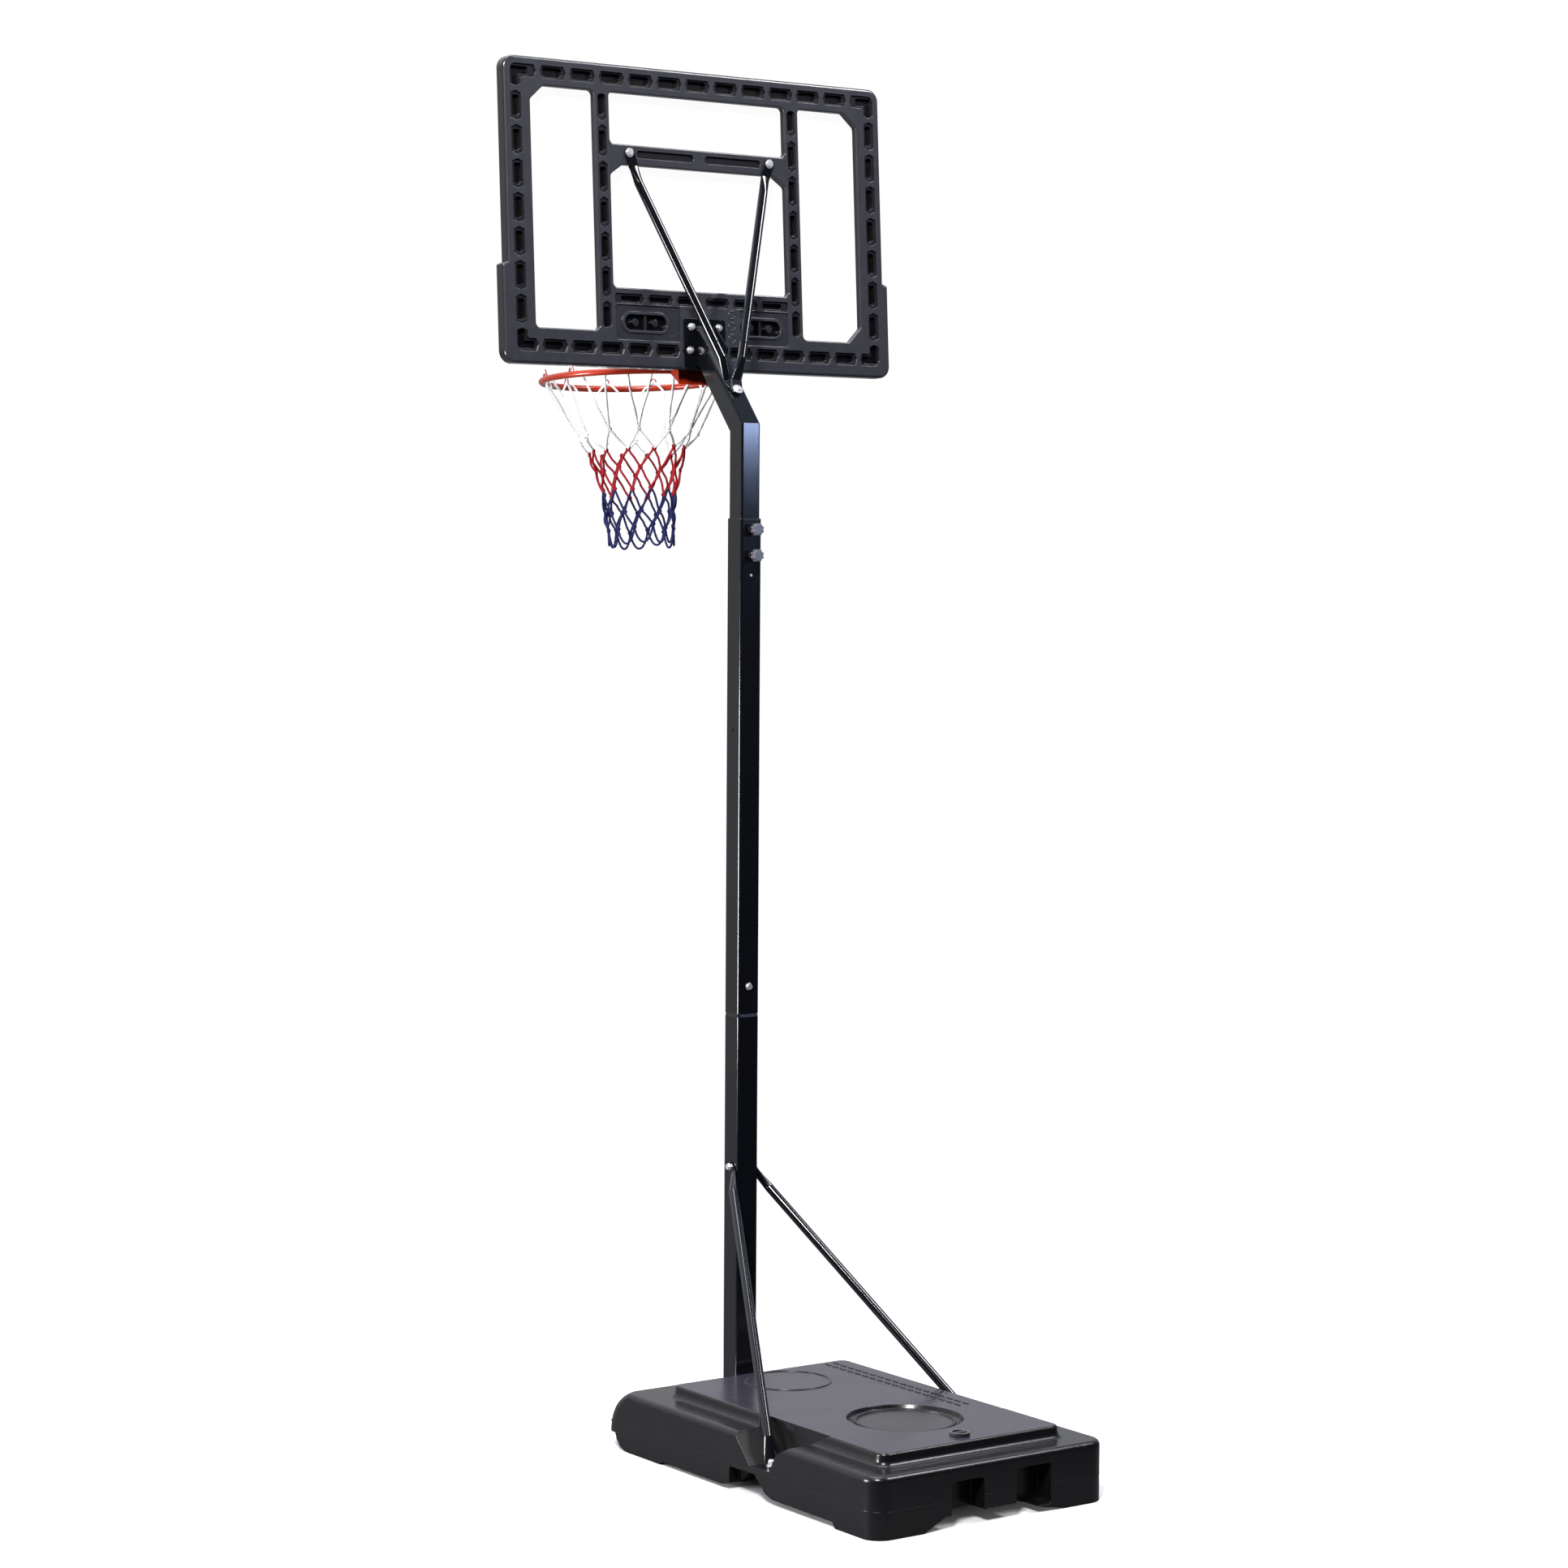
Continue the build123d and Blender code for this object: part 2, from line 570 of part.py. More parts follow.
# plastic glide on the top tube's lower end
with BuildPart() as tube_glide:
    with BuildSketch(Plane.XY.offset(INNER_LOW - 8)):
        RectangleRounded(POLE - 2 * WALL - 0.16, POLE - 2 * WALL - 0.16, POLE_R - WALL - 0.08)
    extrude(amount=8)
    with BuildSketch(Plane.XY.offset(INNER_LOW)):
        ring_of_square(INNER - 2 * WALL - 0.2, 3.4, 44, 2)
    extrude(amount=24)
    with BuildSketch(Plane.XY.offset(INNER_LOW - 9)):
        Circle(12)
    extrude(amount=12, mode=Mode.SUBTRACT)
tube_glide.part.label = "tube_glide"
export_step(tube_glide.part, "parts/tube_glide.step")

# ===================================================================  BRACES


def brace(s):
    top = Plane(origin=(s * (POLE / 2 + TAB_T / 2), 0, 660), x_dir=(0, 0.7, -0.714), z_dir=(s, 0, 0))
    low = Plane(origin=(s * 299, 560, 73 + TAB_T / 2), x_dir=(-s * 0.433, -0.901, 0), z_dir=(0, 0, 1))
    return pinched_tube(
        (top, low),
        ((s * 53.0, 46.0, 607.2), (s * 279.8, 518.7, 130.0)),
        17, (0, -0.71, -0.70))


brace_left = brace(1)
brace_left.part.label = "brace_left"
export_step(brace_left.part, "parts/brace_left.step")
brace_right = brace(-1)
brace_right.part.label = "brace_right"
export_step(brace_right.part, "parts/brace_right.step")
print("brace", brace_left.part.is_valid, len(brace_left.solids()))

bt = Plane(origin=(POLE / 2 + TAB_T, 0, 660), x_dir=(0, 1, 0), z_dir=(1, 0, 0))
with BuildPart() as brace_top_bolt:
    with BuildSketch(bt):
        Circle(8.5)
    extrude(amount=1.4)
    with BuildSketch(bt.offset(1.4)):
        RegularPolygon(7.2, 6)
    extrude(amount=5)
    with BuildSketch(bt):
        Circle(4)
    extrude(amount=-(POLE + 2 * TAB_T + 12))
brace_top_bolt.part.label = "brace_top_bolt"
export_step(brace_top_bolt.part, "parts/brace_top_bolt.step")

bn = Plane(origin=(-POLE / 2 - TAB_T, 0, 660), x_dir=(0, 1, 0), z_dir=(-1, 0, 0))
with BuildPart() as brace_top_nut:
    with BuildSketch(bn):
        Circle(8.5)
    extrude(amount=1.4)
    with BuildSketch(bn.offset(1.4)):
        RegularPolygon(7.2, 6)
    extrude(amount=6)
    with BuildSketch(bn.offset(-1)):
        Circle(4)
    extrude(amount=12, mode=Mode.SUBTRACT)
brace_top_nut.part.label = "brace_top_nut"
export_step(brace_top_nut.part, "parts/brace_top_nut.step")

with BuildPart() as brace_foot_bolts:
    for s in (1, -1):
        seat = Plane(origin=(s * 299, 560, 57), x_dir=(1, 0, 0), z_dir=(0, 0, -1))
        with BuildSketch(seat):
            Circle(11)
        extrude(amount=1.6)
        with BuildSketch(seat.offset(1.6)):
            RegularPolygon(7.5, 6)
        extrude(amount=6.0)
        with BuildSketch(seat):
            Circle(4)
        extrude(amount=-(73 + TAB_T + 12 - 57))
brace_foot_bolts.part.label = "brace_foot_bolts"
export_step(brace_foot_bolts.part, "parts/brace_foot_bolts.step")

# flanged cap nuts on top of the brace tabs
with BuildPart() as brace_foot_nuts:
    for s in (1, -1):
        seat = Plane(origin=(s * 299, 560, 73 + TAB_T))
        with BuildSketch(seat):
            Circle(12)
        extrude(amount=1.6)
        with BuildSketch(seat.offset(1.6)):
            RegularPolygon(9.0, 6)
        extrude(amount=8.0)
        with BuildSketch(seat.offset(9.6)):
            Circle(7.5)
        extrude(amount=5.4)
    fillet(brace_foot_nuts.edges().filter_by(GeomType.CIRCLE).group_by(Axis.Z)[-1], 3.8)
    for s in (1, -1):
        with BuildSketch(Plane(origin=(s * 299, 560, 73 + TAB_T))):
            Circle(4)
        extrude(amount=12.5, mode=Mode.SUBTRACT)
brace_foot_nuts.part.label = "brace_foot_nuts"
export_step(brace_foot_nuts.part, "parts/brace_foot_nuts.step")

# ====================================================================  BOARD
STRUT_BOLT = (205.0, 515.0)
PLATE_BOLTS = ((40, 104), (-40, 104), (45, 47), (-45, 47))
PANEL_SCREWS = tuple((x, z) for z in (13, 711) for x in (-520, -260, 260, 520)) + (
    (0, 711), (-538, 250), (538, 250), (-538, 480), (538, 480))


SIDE_A = ((298.5, 86), (477.5, 86), (477.5, 624), (439.5, 658), (298.5, 658))
SIDE_B = ((-298.5, 86), (-441.5, 86), (-477.5, 122), (-477.5, 624), (-439.5, 658), (-298.5, 658))
UPPER = ((-257, 534.5), (257, 534.5), (257, 658), (-257, 658))
LOWER = ((-257, 190.8), (257, 190.8), (257, 461), (221, 486), (-221, 486), (-257, 461))


def windows_sketch(plane, grow):
    with BuildSketch(plane) as sk:
        for pts in (SIDE_A, SIDE_B, UPPER, LOWER):
            with BuildLine():
                Polyline(*pts, close=True)
            make_face()
        fillet(sk.vertices(), 12)
        if grow:
            offset(amount=grow)
    return sk


def hourglass(u, v, half_l, half_w, waist, turn=0):
    """Bow-tie rib between two pockets, centred at u, v."""
    with Locations(Location((u, v), turn)):
        Polygon((-half_l, -half_w), (half_l, -half_w), (waist, 0), (half_l, half_w), (-half_l, half_w),
                (-waist, 0), align=None, mode=Mode.SUBTRACT)


SIDE_POCKETS = (127, 207, 286, 366, 446, 525, 606)
TOP_POCKETS = tuple(82.6 * i for i in range(-5, 6))
BOTTOM_POCKETS = (107, 187, 266, 345, 427)
MULLION_POCKETS = (118, 204, 286, 368, 452, 538, 626)
ROW_POCKETS = (41.5, 124.5, 207.5)

with BuildPart() as board_frame:
    with BuildSketch(board):
        with Locations((0, BOARD_H / 2)):
            RectangleRounded(BOARD_W, BOARD_H, 30)
        with BuildLine():
            Polyline((-LEDGE_W / 2, 0), (LEDGE_W / 2, 0), (LEDGE_W / 2, LEDGE_H - 6), (BOARD_W / 2 - 5, LEDGE_H + 2),
                     (-BOARD_W / 2 + 5, LEDGE_H + 2), (-LEDGE_W / 2, LEDGE_H - 6), close=True)
        make_face()
    extrude(amount=BOARD_T)
    corner = [e for e in board_frame.edges().filter_by(Axis(origin=(0, 0, 0), direction=board.z_dir))
              if abs(e.center().X) > LEDGE_W / 2 - 1]
    low_corner = [e for e in corner if board.to_local_coords(e.center()).Y < 5]
    fillet(low_corner, 30)
    fillet([e for e in board_frame.edges().filter_by(Axis(origin=(0, 0, 0), direction=board.z_dir))
            if abs(e.center().X) > LEDGE_W / 2 - 1 and board.to_local_coords(e.center()).Y > 100], 5)
    back = board_frame.faces().filter_by(board).sort_by(Axis.Y)[-1]
    fillet(back.edges(), 7)
    extrude(windows_sketch(board.offset(-1), 0).sketch, amount=BOARD_T + 2, dir=board.z_dir, mode=Mode.SUBTRACT)
    back = board_frame.faces().filter_by(board).sort_by(Axis.Y)[-1]
    inner = [e for w in back.inner_wires() for e in w.edges()]
    fillet(inner, 3)

    # shallow channels round the frame, crossed by bow-tie ribs
    with BuildSketch(board):
        with Locations((0, (29 + 705) / 2)):
            RectangleRounded(1064, 676, 16)
            RectangleRounded(1004, 616, 6, mode=Mode.SUBTRACT)
        for x in TOP_POCKETS:
            for d in (-41.3, 41.3):
                hourglass(x + d, 690, 12, 17, 4.5)
        for z0, z1 in zip(SIDE_POCKETS, SIDE_POCKETS[1:]):
            for s in (1, -1):
                hourglass(s * 517, (z0 + z1) / 2, 12, 17, 4.5, 90)
        for s in (1, -1):
            hourglass(s * 517, 646, 12, 17, 4.5, 90)
            hourglass(s * 517, 87, 12, 17, 4.5, 90)
            for x in (67, 147, 226.5, 305.5, 386, 467):
                hourglass(s * x, 44, 12, 17, 4.5)
    extrude(amount=4, mode=Mode.SUBTRACT)
    with BuildSketch(board):
        for s in (1, -1):
            with Locations((s * 277.5, 372)):
                RectangleRounded(25, 556, 8)
            for z0, z1 in zip(MULLION_POCKETS, MULLION_POCKETS[1:]):
                hourglass(s * 277.5, (z0 + z1) / 2, 12, 13, 4, 90)
    extrude(amount=4, mode=Mode.SUBTRACT)
    with BuildSketch(board):
        with Locations((0, 165)):
            RectangleRounded(508, 24, 6)
        for x in (0, 83, -83, 166, -166):
            hourglass(x, 165, 12, 12.5, 4)
    extrude(amount=3.5, mode=Mode.SUBTRACT)
    # flat plate of the lower panel, with an island for the mast bracket
    with BuildSketch(board):
        with Locations((0, 108)):
            RectangleRounded(506, 84, 8)
        with Locations((0, 70)):
            Rectangle(136, 170, mode=Mode.SUBTRACT)
        with Locations((-84, 108)):
            RectangleRounded(48, 92, 6, mode=Mode.SUBTRACT)
        for s in (1, -1):
            with Locations((s * 168, 109)):
                SlotOverall(136, 52, mode=Mode.SUBTRACT)
    extrude(amount=2.5, mode=Mode.SUBTRACT)
    # deep pockets
    with BuildSketch(board):
        for x in TOP_POCKETS:
            with Locations((x, 690)):
                RectangleRounded(54, 22, 6)
        for z in SIDE_POCKETS:
            for s in (1, -1):
                with Locations((s * 516, z)):
                    RectangleRounded(19, 50, 6)
        for x in BOTTOM_POCKETS:
            for s in (1, -1):
                with Locations((s * x, 44)):
                    RectangleRounded(50, 20, 6)
        for z in MULLION_POCKETS:
            for s in (1, -1):
                with Locations((s * 277, z)):
                    RectangleRounded(17, 50, 5)
        for x in ROW_POCKETS:
            for s in (1, -1):
                with Locations((s * x, 165)):
                    RectangleRounded(56, 14, 4)
        # L-shaped corner pockets
        for s in (1, -1):
            with BuildLine():
                Polyline((s * 508, 654), (s * 508, 681), (s * 481, 681), (s * 481, 699), (s * 527, 699),
                         (s * 527, 654), close=True)
            make_face()
            with BuildLine():
                Polyline((s * 508, 80), (s * 508, 53), (s * 481, 53), (s * 481, 35), (s * 527, 35),
                         (s * 527, 80), close=True)
            make_face()
    extrude(amount=13, mode=Mode.SUBTRACT)
    # long grooves of the crossbar
    with BuildSketch(board):
        for s in (1, -1):
            with Locations((s * 99, 512.7)):
                SlotOverall(166, 18.5)
    extrude(amount=5, mode=Mode.SUBTRACT)
    # obround recesses with posts, plain rings, blow hole
    with BuildSketch(board):
        for s in (1, -1):
            with Locations((s * 168, 109)):
                SlotOverall(121, 38)
    extrude(amount=12, mode=Mode.SUBTRACT)
    with BuildSketch(board.offset(3)):
        for s in (1, -1):
            with Locations((s * 140, 109), (s * 196, 109)):
                Circle(9)
            with Locations((s * 168, 109)):
                Rectangle(7, 38)
    extrude(amount=9.5)
    with BuildSketch(board.offset(-1.0)):
        with Locations((-84, 138), (-84, 109), (-84, 80)):
            Circle(11)
            Circle(8.6, mode=Mode.SUBTRACT)
    extrude(amount=1.5)
    # room inside the blown frame, open only at the blow hole
    with BuildSketch(board.offset(17)) as room:
        with Locations((0, BOARD_H / 2)):
            RectangleRounded(BOARD_W - 10, BOARD_H - 10, 24)
    grown = windows_sketch(board.offset(17), 5)
    cavity = extrude(room.sketch, amount=10, dir=board.z_dir, mode=Mode.PRIVATE)
    cavity = cavity - extrude(grown.sketch, amount=10, dir=board.z_dir, mode=Mode.PRIVATE)
    posts = [on_board(x, z, 10) for x, z in PLATE_BOLTS] + [on_board(s * STRUT_BOLT[0], STRUT_BOLT[1], 10) for s in (1, -1)]
    for p in posts:
        cavity = cavity - Plane(origin=p, z_dir=board.z_dir) * Cylinder(9, 60, mode=Mode.PRIVATE)
    add(cavity, mode=Mode.SUBTRACT)
    with BuildSketch(board):
        with Locations((92, 84)):
            Circle(3)
    extrude(amount=20, mode=Mode.SUBTRACT)
    # bolt holes
    with BuildSketch(board.offset(-1)):
        with Locations(*PLATE_BOLTS):
            Circle(4.2)
    extrude(amount=BOARD_T + 2, mode=Mode.SUBTRACT)
    with BuildSketch(board.offset(-1)):
        with Locations((STRUT_BOLT[0], STRUT_BOLT[1]), (-STRUT_BOLT[0], STRUT_BOLT[1])):
            Circle(4.1)
    extrude(amount=24, mode=Mode.SUBTRACT)
    with BuildSketch(board.offset(BOARD_T - 2.6)):
        with Locations(*PANEL_SCREWS):
            Circle(2.1)
    extrude(amount=4, mode=Mode.SUBTRACT)
board_frame.part.label = "board_frame"
export_step(board_frame.part, "parts/board_frame.step")
print("board_frame", board_frame.part.is_valid, len(board_frame.solids()), round(board_frame.part.volume / 1e6, 3))

# clear sheet in front of the frame
with BuildPart() as clear_panel:
    with BuildSketch(board.offset(BOARD_T)):
        with Locations((0, BOARD_H / 2)):
            RectangleRounded(BOARD_W - 8, BOARD_H - 8, 26)
        with Locations(*PLATE_BOLTS):
            Circle(4.2, mode=Mode.SUBTRACT)
        with Locations(*PANEL_SCREWS):
            Circle(2.1, mode=Mode.SUBTRACT)
    extrude(amount=PANEL_T)
clear_panel.part.label = "clear_panel"
export_step(clear_panel.part, "parts/clear_panel.step")

front = board.offset(BOARD_T + PANEL_T)
with BuildPart() as panel_screws:
    with BuildSketch(front):
        with Locations(*PANEL_SCREWS):
            Circle(5)
    extrude(amount=2.4)
    fillet(panel_screws.edges().filter_by(GeomType.CIRCLE).group_by(Axis(origin=(0, 0, 0), direction=board.z_dir))[-1], 1.2)
    with BuildSketch(front):
        with Locations(*PANEL_SCREWS):
            Circle(2.0)
    extrude(amount=-(PANEL_T + 2.4))
panel_screws.part.label = "panel_screws"
export_step(panel_screws.part, "parts/panel_screws.step")
print("panel_screws", len(panel_screws.solids()))

# steel bracket behind the board, welded to the slanted tube
with BuildPart() as board_bracket:
    with BuildSketch(board.offset(-4)):
        with Locations((0, 62)):
            RectangleRounded(120, 124, 6)
        with Locations(*PLATE_BOLTS):
            Circle(4.2, mode=Mode.SUBTRACT)
    extrude(amount=4)
    for s in (1, -1):
        with BuildSketch(Plane(origin=on_board(s * 27.1, 0, 0), x_dir=board.y_dir, z_dir=(1, 0, 0))):
            with BuildLine():
                Polyline((14, -3), (112, -3), (50, -60), (22, -46), (8, -18), close=True)
            make_face()
        extrude(amount=s * 3)
board_bracket.part.label = "board_bracket"
export_step(board_bracket.part, "parts/board_bracket.step")
bb = board_bracket.part.bounding_box()
print("board_bracket", len(board_bracket.solids()), [round(v) for v in (*bb.min, *bb.max)])

# ---------------------------------------------------------------- ring
ring_plane = Plane(origin=on_board(0, RING_UP, RING_OUT), x_dir=(1, 0, 0), z_dir=board.y_dir)
with BuildPart() as rim_ring:
    with Locations(ring_plane):
        Torus(RING_R, RING_ROD)
rim_ring.part.label = "rim_ring"
export_step(rim_ring.part, "parts/rim_ring.step")

with BuildPart() as rim_plate:
    with BuildSketch(front):
        with Locations((0, 46)):
            RectangleRounded(112, 156, 6)
        with Locations(*PLATE_BOLTS):
            Circle(4.2, mode=Mode.SUBTRACT)
    extrude(amount=4)
    with BuildSketch(Plane(origin=on_board(0, RING_UP - 2, 0), x_dir=(1, 0, 0), z_dir=board.y_dir)):
        with BuildLine():
            Polyline((-56, -BOARD_T - PANEL_T - 3), (56, -BOARD_T - PANEL_T - 3), (84, -94), (-84, -94), close=True)
        make_face()
    extrude(amount=4)
    for s in (1, -1):
        with BuildSketch(Plane(origin=on_board(s * 44, 0, 0), x_dir=board.y_dir, z_dir=(1, 0, 0))):
            with BuildLine():
                Polyline((RING_UP - 1, 36), (-31, 36), (-30, 42), (RING_UP - 7, 82), (RING_UP - 1, 82), close=True)
            make_face()
        extrude(amount=s * 3.5)
    # meets the ring rod face to face
    with Locations(ring_plane):
        Torus(RING_R, RING_ROD + 0.02, mode=Mode.SUBTRACT)
        Cylinder(RING_R - 5, 60, mode=Mode.SUBTRACT)
rim_plate.part.label = "rim_plate"
export_step(rim_plate.part, "parts/rim_plate.step")
bb = rim_plate.part.bounding_box()
print("rim_plate", len(rim_plate.solids()), [round(v) for v in (*bb.min, *bb.max)])

# wire loops under the ring for the net
N_LOOP = 12
with BuildPart() as net_hooks:
    for i in range(N_LOOP):
        a = radians(360 / N_LOOP * (i + 0.5))
        out = ring_plane.x_dir * cos(a) + ring_plane.y_dir * sin(a)
        tan = ring_plane.y_dir * cos(a) - ring_plane.x_dir * sin(a)
        hook = Plane(origin=ring_plane.origin + out * RING_R, x_dir=tan, z_dir=out)
        with BuildLine(hook):
            Line((-8, RING_ROD + 0.02), (-5.5, 18))
            ThreePointArc((-5.5, 18), (0, 23.5), (5.5, 18))
            Line((5.5, 18), (8, RING_ROD + 0.02))
        with BuildSketch(Plane(origin=hook.from_local_coords(Vector(-8, RING_ROD + 0.02, 0)),
                               x_dir=out, z_dir=ring_plane.z_dir)):
            Circle(1.5)
        sweep()
net_hooks.part.label = "net_hooks"
export_step(net_hooks.part, "parts/net_hooks.step")
print("net_hooks", len(net_hooks.solids()), net_hooks.part.is_valid)

# outer form of the hanging net, open above and below
NET = ((14, 223.8), (-14, 223.8), (-60, 204), (-110, 160), (-165, 121), (-215, 105), (-270, 95), (-340, 88), (-24.5 - NET_H + 24.5, 86))
section = Plane(origin=ring_plane.origin, x_dir=ring_plane.x_dir, z_dir=ring_plane.y_dir * -1)
with BuildPart() as net:
    with BuildSketch(section):
        with BuildLine():
            Polyline(*[(r, z) for z, r in NET], *[(r - 4.5, z) for z, r in reversed(NET)], close=True)
        make_face()
    revolve(axis=Axis(origin=ring_plane.origin, direction=ring_plane.z_dir))
net.part.label = "net"
export_step(net.part, "parts/net.step")
bb = net.part.bounding_box()
print("net", net.part.is_valid, [round(v) for v in (*bb.min, *bb.max)])

# bolts through ring plate, sheet, frame and bracket
with BuildPart() as rim_bolts:
    with BuildSketch(front.offset(4)):
        with Locations(*PLATE_BOLTS):
            Circle(8)
    extrude(amount=1.4)
    with BuildSketch(front.offset(5.4)):
        with Locations(*PLATE_BOLTS):
            RegularPolygon(7.2, 6)
    extrude(amount=5)
    with BuildSketch(front.offset(4)):
        with Locations(*PLATE_BOLTS):
            Circle(4)
    extrude(amount=-(4 + PANEL_T + BOARD_T + 4 + 10))
rim_bolts.part.label = "rim_bolts"
export_step(rim_bolts.part, "parts/rim_bolts.step")

with BuildPart() as rim_nuts:
    with BuildSketch(board.offset(-4)):
        with Locations(*PLATE_BOLTS):
            Circle(9)
    extrude(amount=-1.5)
    with BuildSketch(board.offset(-5.5)):
        with Locations(*PLATE_BOLTS):
            RegularPolygon(7.2, 6)
    extrude(amount=-6.5)
    with BuildSketch(board.offset(-3)):
        with Locations(*PLATE_BOLTS):
            Circle(4)
    extrude(amount=-12, mode=Mode.SUBTRACT)
rim_nuts.part.label = "rim_nuts"
export_step(rim_nuts.part, "parts/rim_nuts.step")

# ==================================================================  V STRUTS


def v_strut(s, layer):
    low = Plane(origin=strut_bolt_at + slant_up * (TAB_T * (layer + 0.5)),
                x_dir=Vector(s * 0.3555, 0, 0) + slant_dir * 0.9347, z_dir=slant_up)
    high = Plane(origin=on_board(s * STRUT_BOLT[0], STRUT_BOLT[1], -TAB_T / 2),
                 x_dir=board.x_dir * (-s * 0.342) + board.y_dir * -0.94, z_dir=board.z_dir * -1)
    return pinched_tube(
        (low, high),
        ((s * 28.5, -57.4, 2612.0), (s * 182.8, -190.3, 3030.0)),
        34, (0, 0.95, 0.3))


v_strut_left = v_strut(1, 0)
v_strut_left.part.label = "v_strut_left"
export_step(v_strut_left.part, "parts/v_strut_left.step")
v_strut_right = v_strut(-1, 1)
v_strut_right.part.label = "v_strut_right"
export_step(v_strut_right.part, "parts/v_strut_right.step")
print("v_strut", v_strut_left.part.is_valid, len(v_strut_left.solids()), len(v_strut_right.solids()))

sb = Plane(origin=strut_bolt_at + slant_up * (2 * TAB_T), x_dir=(1, 0, 0), z_dir=slant_up)
with BuildPart() as strut_tube_bolt:
    with BuildSketch(sb.offset(2)):
        RegularPolygon(7.4, 6)
    extrude(amount=5.5)
    with BuildSketch(sb.offset(2)):
        Circle(4)
    extrude(amount=-(2 + 2 * TAB_T + INNER + 11))
strut_tube_bolt.part.label = "strut_tube_bolt"
export_step(strut_tube_bolt.part, "parts/strut_tube_bolt.step")

with BuildPart() as strut_tube_washer:
    with BuildSketch(sb):
        Circle(13)
        Circle(4.2, mode=Mode.SUBTRACT)
    extrude(amount=2)
strut_tube_washer.part.label = "strut_tube_washer"
export_step(strut_tube_washer.part, "parts/strut_tube_washer.step")

sn = Plane(origin=strut_bolt_at - slant_up * INNER, x_dir=(1, 0, 0), z_dir=slant_up * -1)
with BuildPart() as strut_tube_nut:
    with BuildSketch(sn):
        Circle(9)
    extrude(amount=1.5)
    with BuildSketch(sn.offset(1.5)):
        RegularPolygon(7.4, 6)
    extrude(amount=6.5)
    with BuildSketch(sn.offset(-1)):
        Circle(4)
    extrude(amount=12, mode=Mode.SUBTRACT)
strut_tube_nut.part.label = "strut_tube_nut"
export_step(strut_tube_nut.part, "parts/strut_tube_nut.step")

with BuildPart() as strut_board_screws:
    for s in (1, -1):
        seat = Plane(origin=on_board(s * STRUT_BOLT[0], STRUT_BOLT[1], -TAB_T), x_dir=(1, 0, 0), z_dir=board.z_dir * -1)
        with BuildSketch(seat):
            Circle(11)
        extrude(amount=1.6)
        with BuildSketch(seat.offset(1.6)):
            RegularPolygon(7.4, 6)
        extrude(amount=5.5)
        with BuildSketch(seat):
            Circle(4)
        extrude(amount=-(TAB_T + 20))
strut_board_screws.part.label = "strut_board_screws"
export_step(strut_board_screws.part, "parts/strut_board_screws.step")
print("strut_board_screws", len(strut_board_screws.solids()))
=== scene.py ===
import json
import math
import random

import bmesh
import bpy
from mathutils import Matrix, Vector


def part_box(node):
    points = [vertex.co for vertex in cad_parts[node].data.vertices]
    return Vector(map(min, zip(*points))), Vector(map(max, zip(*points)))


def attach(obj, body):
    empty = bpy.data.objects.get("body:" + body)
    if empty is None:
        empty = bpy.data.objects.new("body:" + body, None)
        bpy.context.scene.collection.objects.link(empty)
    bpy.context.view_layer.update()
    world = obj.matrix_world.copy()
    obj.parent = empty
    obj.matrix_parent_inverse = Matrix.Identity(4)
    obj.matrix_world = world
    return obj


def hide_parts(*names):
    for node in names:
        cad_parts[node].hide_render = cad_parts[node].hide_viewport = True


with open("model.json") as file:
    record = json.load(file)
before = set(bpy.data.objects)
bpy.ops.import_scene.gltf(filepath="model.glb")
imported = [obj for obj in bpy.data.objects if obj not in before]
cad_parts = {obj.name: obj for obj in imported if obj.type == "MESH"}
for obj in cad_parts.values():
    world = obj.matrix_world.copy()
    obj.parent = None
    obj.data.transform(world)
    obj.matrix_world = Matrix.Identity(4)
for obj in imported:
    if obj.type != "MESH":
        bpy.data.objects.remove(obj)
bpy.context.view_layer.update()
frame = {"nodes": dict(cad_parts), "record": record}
nodes = frame["nodes"]
scene = bpy.context.scene

# ------------------------------------------------------------------ camera
AZ, EL, ROLL = math.radians(144.584), math.radians(3.445), math.radians(0.368)
fwd = Vector((-math.sin(AZ) * math.cos(EL), math.cos(AZ) * math.cos(EL), -math.sin(EL)))
r0 = Vector((math.cos(AZ), math.sin(AZ), 0))
u0 = r0.cross(fwd)
right = math.cos(ROLL) * r0 + math.sin(ROLL) * u0
up = -math.sin(ROLL) * r0 + math.cos(ROLL) * u0
cam_data = bpy.data.cameras.new("camera")
cam_data.sensor_width = 36.0
cam_data.lens = 84.63
cam_data.clip_end = 200
cam = bpy.data.objects.new("camera", cam_data)
m = Matrix((right, up, -fwd)).transposed().to_4x4()
m.translation = Vector((5.0643, 7.2932, 2.1225))
cam.matrix_world = m
scene.collection.objects.link(cam)
scene.camera = cam
scene.view_settings.view_transform = "Standard"
scene.view_settings.look = "None"


WORLD_BACK, WORLD_FRONT = 0.06, 0.95


